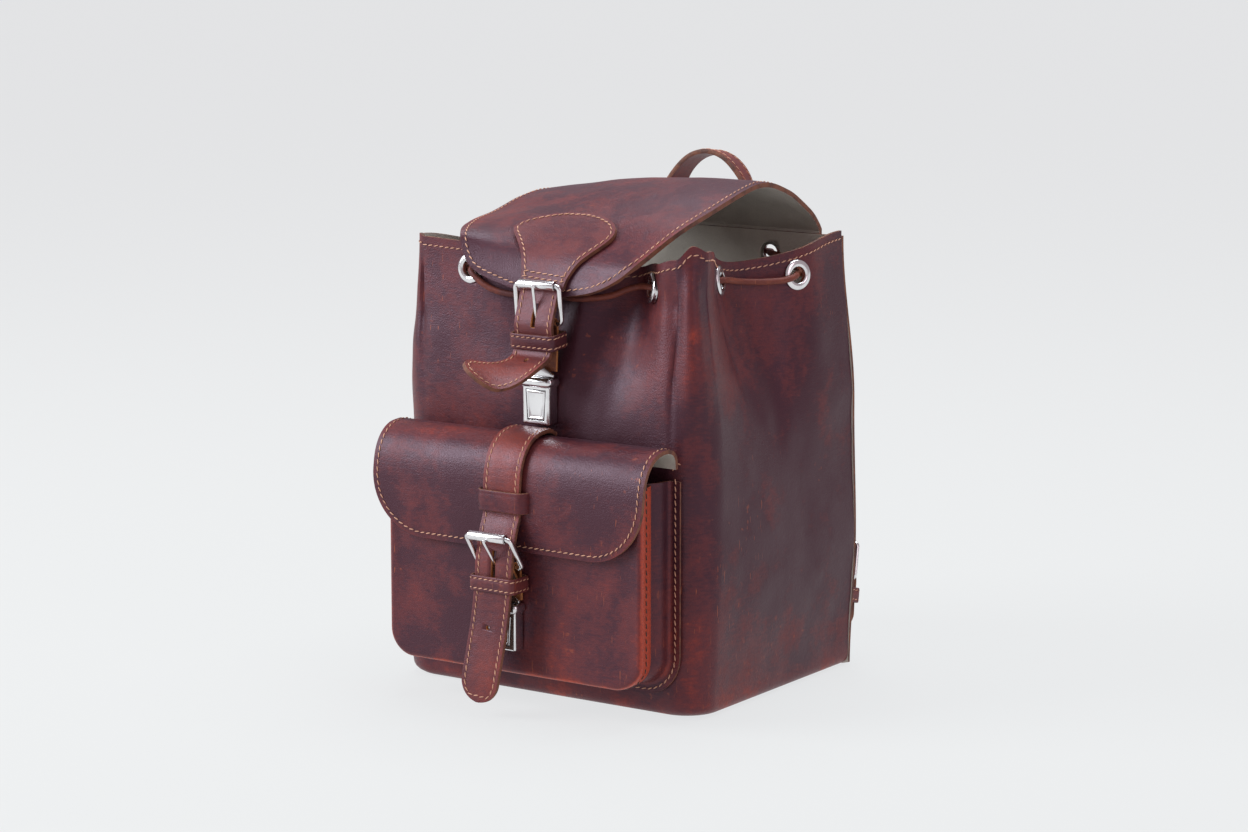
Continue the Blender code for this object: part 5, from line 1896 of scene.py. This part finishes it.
@dataclass
class PocketFlap:
    """The pocket's flap, sewn to the body above and bent over the pocket."""

    half: float = 117.0
    low: float = 117.0
    corner: float = 45.0
    thick: float = 3.0
    profile: Knots = (
        (-108.9, 180.5), (-109.2, 187), (-112.5, 192.8), (-118, 195.3), (-123.4, 195.8),
        (-134, 194.2), (-143, 188.8), (-149.5, 179.5), (-152.6, 167), (-153.6, 151),
        (-153.6, 140), (-153.3, 130), (-152.9, 123), (-152.5, 119), (-152.3, 117),
    )

    @property
    def fold(self) -> Bend:
        """Where the flap bends between the body and itself."""
        return "root", "pocket_flap", (0, -117.0, 195.5), (0, -134.0, 195.5)

    def half_at(self, z: float, moving: bool) -> float:
        """Half the width at a height."""
        drop = self.low + self.corner - z
        if drop <= 0 or not moving:
            return self.half
        share = min(drop / self.corner, 1.0)
        return self.half - self.corner * (1 - math.sqrt(max(1 - share * share, 0.0)))

    def sheet(self) -> Hide:
        """The flap as one sheet."""
        line = even_path(smooth_path([(0, y, z) for y, z in self.profile], 8), 2.2)
        tail = [p for p in line if p.z > self.low + 6.5 or p.y > -140]
        end = line[-1]
        tail += [tail[-1].lerp(end, k) for k in (0.3, 0.52, 0.70, 0.84, 0.93, 0.98, 1.0)]
        spread = spread_over(64, 234.0)
        grid = []
        for point in tail:
            half = self.half_at(point.z, point.y < -140)
            row = []
            for u in spread:
                place = Vector((half * u, point.y, point.z))
                away = min(max((abs(place.x) - 26) / 20, 0.0), 1.0)
                front = through(((117, 1), (150, 1), (188, 0)), point.z) if point.y < -140 else 0.0
                place.y -= away * front * (0.5 + noise.noise(place * 0.03) * 0.5)
                if point.y > -140:
                    place.z += away * bump(point.y + 126, 12) * noise.noise(place * 0.02) * 0.8
                row.append(place)
            grid.append(row)
        bend = []
        for point in tail:
            crown = bump(point.z - 193, 9) * 0.45 if point.y < -125 else 0.0
            worn = max(crown, 0.15 if point.y > -112 else 0.0)
            bend.append([worn + bump(abs(u) - 1, 0.05) * 0.3 for u in spread])
        return Hide("pocket_flap_hide", grid, self.thick, -1, back=Finish.LINING, seams="lrt",
                    bend=lambda i, j: bend[i][j])

    def build(self) -> None:
        """Makes the flap with its seams."""
        sheet = self.sheet()
        Bench.put(sheet.build(), "pocket_flap", Finish.HIDE, "pocket_flap", "pocket_flap_sewn_strip",
                  between=self.fold)
        Bench.sew("pocket_flap_stitches", "pocket_flap", [sheet.row(4.0, "lTR"), sheet.row(3.6, "b")],
                  between=self.fold)


@dataclass
class PocketClosure:
    """Strap over the pocket flap with its bridge, buckle, keeper, tab and lock."""

    flap: PocketFlap
    width: float = 32.0
    thick: float = 3.0
    roller: Spot = (0.0, -173.5, 129.5)
    heel: Spot = (0.0, -158.0, 106.5)
    lock_top: float = 79.5
    hole: float = 64.0
    path: tuple[Spot, ...] = (
        (0, -110.4, 188.5), (0, -111.3, 195.2), (0, -117.3, 198.3), (0, -123.9, 198.9),
        (0, -135, 197.2), (0, -144.9, 191.4), (0, -152, 181.2), (0, -155.4, 168),
        (0, -156, 155), (0, -156.2, 142), (0, -160, 133), (0, -163.2, 121), (-0.2, -165.2, 110),
        (-0.4, -165.8, 100), (-0.9, -166.4, 88), (-2.4, -168, 68), (-4.2, -171, 48),
        (-6.2, -174, 28), (-7.8, -175.5, 10),
    )

    def _strap(self, buckle: RollerBuckle) -> None:
        """The strap, its holes and its stitches."""
        path = fine_tip(smooth_path(self.path[1:], 8), STRAP_TIP)
        facing = [tangent(path, i).cross(Vector((1, 0, 0))) for i in range(len(path))]
        widths = tip_widths(path, self.width, STRAP_TIP)
        strap = Strap("pocket_strap_hide", path, widths, facing, self.thick,
                      bend=lambda share: 0.55 if share < 0.38 else 0.25)
        piece = strap.build()
        middle = min(path, key=lambda p: abs(p.z - self.hole) + (99 if p.y > -160 else 0))
        punch = rod(middle - Vector((0, 8, 0)), middle + Vector((0, 8, 0)), 1.5, 24)
        Bench.carve(piece, [buckle.slot(), punch], Finish.TAN_EDGE)
        fold = self.flap.fold
        Bench.put(piece, "pocket_flap", Finish.STRAP, "pocket_strap", "pocket_strap_root", between=fold)
        Bench.sew("pocket_strap_stitches", "pocket_flap", strap.rows(0.02, 0.985, True), between=fold)

    def _bridge(self) -> None:
        """The band that holds the strap to the flap, raised over it."""
        side = ((-20.6, -153.0, 152.5), (-20.0, -155.0, 152.5), (-18.6, -157.4, 152.5),
                (-16.2, -159.0, 152.5),
                (-12, -159.4, 152.5), (0, -159.5, 152.5))
        path = smooth_path(mirrored(side), 5)
        facing = [tangent(path, i).cross(UP) for i in range(len(path))]
        if facing[len(facing) // 2].y > 0:
            facing = [-f for f in facing]
        band = Strap("pocket_bridge", path, [15.0] * len(path), facing, 1.8, Finish.HIDE, inset=2.2,
                     bend=lambda share: 0.1)
        Bench.put(band.build(), "pocket_flap", Finish.HIDE, "pocket_flap_bridge")

    def build(self) -> None:
        """Makes and places the whole closure."""
        buckle = RollerBuckle("pocket_buckle", "pocket_flap", Vector(self.roller), Vector(self.heel),
                              FRONT)
        buckle.build()
        self._strap(buckle)
        self._bridge()
        Keeper("pocket_loop", "pocket_keeper", "pocket_flap", Vector((-0.5, -159.2, 94.5)), UP,
               FRONT, 18.4).build()
        TuckLock("pocket_lock", "pocket_flap", self.lock_top, -148.0, 0.0).build()
        Tab("pocket_fold", "pocket_tab", "pocket_flap", buckle, Vector((0, -150.6, 82.0))).build()


# --- back


@dataclass
class Yoke:
    """The shield-shaped patch over the roots of the handle and the shoulder straps."""

    face: float = 108.35
    thick: float = 2.4
    top: float = 296.0
    low: float = 238.0
    outline: Knots = ((238, 54), (241, 55.5), (252, 58), (284, 58), (296, 56))

    def build(self) -> None:
        """Makes the patch, raised where leather runs in under it."""
        heights = [self.low + (self.top - self.low) * share for share in shares(30, self.top - self.low)]
        spread = spread_over(56, 112.0)
        grid = []
        for z in heights:
            row = []
            for u in spread:
                x = u * through(self.outline, z)
                rise = 3.9 * bump(abs(x) - 37.6, 17) ** 0.6 * through(((266, 0), (276, 1)), z)
                rise += 3.3 * bump(abs(x) - 38.4, 22) ** 0.6 * through(((252, 1), (264, 0)), z)
                row.append(Vector((x, self.face + rise, z)))
            grid.append(row)
        sheet = Hide("yoke_hide", grid, self.thick, -1, Finish.STRAP)
        Bench.put(sheet.build(), "root", Finish.STRAP, "yoke_patch")
        Bench.sew("yoke_stitches", "root", [sheet.row(3.2, "brTL")])


@dataclass
class Handle:
    """The carry handle, whose ends lie flat under the yoke and whose top turns on edge."""

    width: float = 20.0
    thick: float = 3.6
    low: float = 298.0
    full: float = 70.5

    @property
    def fold(self) -> Bend:
        """Where the handle bends at the yoke's edge."""
        return "root", "handle", (0, 111.0, 290.0), (0, 113.5, 304.0)

    def build(self) -> None:
        """Makes the handle with its seams."""
        side = ((-37.4, 107.4, 279.0), (-37.4, 108.6, 287.0), (-37.5, 112.2, 293.5), (-37.6, 113.8, 299.0),
                (-38.5, 114, 314), (-37.6, 114.6, 332), (-33.5, 115.4, 350), (-25, 116, 364),
                (-13.5, 116.4, 373.5), (0, 116.6, 376.8))
        path = smooth_path(mirrored(side), 7)
        facing = []
        for i, point in enumerate(path):
            along = tangent(path, i)
            rise = min(max((point.z - self.low) / self.full, 0.0), 1.0)
            share = rise * rise * (3 - 2 * rise) * 0.88
            flat = REAR - along * along.y
            facing.append(flat.normalized() * (1 - share) + REAR.cross(along) * -share)
        strap = Strap("handle_strap", path, [self.width] * len(path), facing, self.thick, inset=3.2,
                      back=Finish.STRAP, bend=lambda share: 0.2 + 0.3 * bump(share - 0.5, 0.3))
        Bench.put(strap.build(), "handle", Finish.STRAP, "carry_handle", between=self.fold)
        Bench.sew("handle_stitches", "handle", strap.rows(0.10, 0.90), between=self.fold)


@dataclass
class ShoulderStrap:
    """One shoulder strap from under the yoke to its buckle, and the patch it is anchored by."""

    side: str
    sign: int
    width: float = 32.0
    thick: float = 3.0
    path: tuple[Spot, ...] = (
        (37.8, 107, 261), (38.2, 107.5, 252), (38.6, 109.4, 243),
        (39.2, 112.8, 235), (43, 119, 221), (52, 131, 200), (64, 141.5, 174),
        (77, 145.5, 146), (89.5, 137.5, 119), (97, 128.8, 104), (101.5, 124.2, 94.5),
    )
    roller: Spot = (104.5, 128.3, 86.0)
    heel: Spot = (106.5, 120.8, 60.0)
    tail: tuple[Spot, ...] = ((107.4, 124.7, 46.5), (108.4, 122.0, 34.0), (109.2, 120.3, 20.0))
    anchor: Knots = ((12, 15), (30, 15), (37.2, 11))
    tip: float = 14.0

    def _turned(self, points: Sequence[Spot]) -> list[Vector]:
        """The points on this strap's side of the bag."""
        return [Vector((x * self.sign, y, z)) for x, y, z in points]

    def build(self) -> None:
        """Makes and places the strap with its hardware and anchor."""
        name = "shoulder_" + self.side
        roller, heel = self._turned((self.roller, self.heel))
        buckle = RollerBuckle(name + "_buckle", name, roller, heel, REAR)
        buckle.build()
        behind, over = buckle.strap_points()
        knots = self._turned(self.path) + [behind, behind.lerp(over, 0.5), over] + self._turned(self.tail)
        path = fine_tip(smooth_path(knots, 7), self.tip)
        facing = []
        for i in range(len(path)):
            along = tangent(path, i)
            facing.append(REAR - along * along.y)
        bend = ("root", name, (37.0 * self.sign, 108.0, 250.0), (45.0 * self.sign, 119.0, 218.0))
        strap = Strap(name + "_hide", path, tip_widths(path, self.width, self.tip), facing, self.thick,
                      bend=lambda share: 0.25)
        piece = strap.build()
        Bench.carve(piece, [buckle.slot()], Finish.EDGE)
        Bench.put(piece, name, Finish.STRAP, name + "_strap", between=bend)
        Bench.sew(name + "_stitches", name, strap.rows(0.08, 0.99, True), between=bend)
        Keeper(name + "_loop", name + "_keeper", name, buckle.at(0, -12.0, 2.2), buckle.along,
               REAR, 14.8).build()
        Tab(name + "_fold", name + "_tab", name, buckle, buckle.at(0, -22.0, -3.6)).build()
        self._anchor(name)

    def _anchor(self, name: str) -> None:
        """The patch low on the back that holds the strap's tab."""
        heights = [12 + 25.2 * share for share in shares(8, 25.2, (0.5, 1.4, 3.2))]
        spread = spread_over(8, 30.0, (0.5, 1.4, 3.2))
        grid = []
        for z in heights:
            half = through(self.anchor, z)
            grid.append([Vector((109 * self.sign + half * u, 108.35, z)) for u in spread])
        sheet = Hide(name + "_patch", grid, 2.6, -1, Finish.STRAP)
        Bench.put(sheet.build(), "root", Finish.STRAP, name + "_anchor")
        Bench.sew(name + "_patch_stitches", "root", [sheet.row(2.8, "brTL")])


# --- studio


@dataclass
class Studio:
    """Plain pale floor, soft lights and the camera."""

    azimuth: float = 34.19
    elevation: float = 9.88
    distance: float = 2.56418
    lens: float = 99.85
    target: Spot = (-0.00644, 0.00619, 0.18923)
    floor: Colour = (0.058, 0.057, 0.052)

    def camera(self) -> None:
        """Places the camera."""
        data = bpy.data.cameras.new("camera")
        data.lens = self.lens
        data.sensor_width = 36.0
        camera = linked("camera", data)
        az, el = math.radians(self.azimuth), math.radians(self.elevation)
        back = Vector((math.cos(el) * math.sin(az), -math.cos(el) * math.cos(az), math.sin(el)))
        camera.location = Vector(self.target) + back * self.distance
        camera.rotation_euler = (-back).to_track_quat("-Z", "Y").to_euler()
        bpy.context.scene.camera = camera

    @staticmethod
    def lamp(name: str, place: Spot, aim: Spot, size: tuple[float, float], power: float,
             colour: Colour) -> None:
        """Adds a soft rectangular light.

        Args:
            name: Its name.
            place: Where it stands, in metres.
            aim: The point that it faces.
            size: Its width and height.
            power: Watts.
            colour: Its tint.
        """
        data = bpy.data.lights.new(name, "AREA")
        data.shape = "RECTANGLE"
        data.size, data.size_y = size
        data.energy = power
        data.color = colour
        lamp = linked(name, data)
        lamp.location = place
        lamp.rotation_euler = (Vector(aim) - Vector(place)).to_track_quat("-Z", "Y").to_euler()

    def build(self) -> None:
        """Makes the floor, the lights, the world and the camera."""
        self.camera()
        bm = bmesh.new()
        bmesh.ops.create_grid(bm, x_segments=2, y_segments=2, size=60.0)
        bmesh.ops.translate(bm, verts=bm.verts, vec=(0, 0, -0.0006))
        mesh = bpy.data.meshes.new("studio_floor")
        bm.to_mesh(mesh)
        bm.free()
        mesh.materials.append(Paper("studio_paper", self.floor).material())
        linked("studio_floor", mesh)
        world = bpy.data.worlds.new("studio_world")
        world.use_nodes = True
        feed(world.node_tree, world.node_tree.nodes["Background"],
             {"Color": (1.0, 0.87, 0.92, 1.0), "Strength": 0.40})
        bpy.context.scene.world = world
        self.lamp("left_softbox", (-1.9, -1.7, 1.5), (0, 0, 0.18), (1.5, 1.8), 91.0, (0.90, 0.97, 1.0))
        self.lamp("right_softbox", (2.3, -0.5, 1.2), (0, 0, 0.18), (1.0, 1.6), 8.0, (1.0, 0.82, 0.88))
        self.lamp("top_softbox", (0.0, 0.5, 2.3), (0, 0, 0.2), (1.8, 1.4), 54.0, (0.85, 0.97, 1.0))
        view = bpy.context.scene.view_settings
        view.view_transform = "Standard"
        view.look = "None"


def main() -> None:
    """Builds every sub-assembly in order and reports each piece."""
    logging.basicConfig(level=logging.INFO, format="%(name)s: %(message)s", stream=sys.stdout)
    Studio().build()
    shell = BodyShell()
    Drawstring(shell).build()
    shell.build()
    Eyelets(shell).build()
    flap = MainFlap()
    flap.build()
    MainClosure(flap).build()
    Pocket().build()
    pocket_flap = PocketFlap()
    pocket_flap.build()
    PocketClosure(pocket_flap).build()
    Yoke().build()
    Handle().build()
    for side, sign in (("right", 1), ("left", -1)):
        ShoulderStrap(side, sign).build()
    LOG.info("sizes written")


if __name__ == "__main__":
    main()
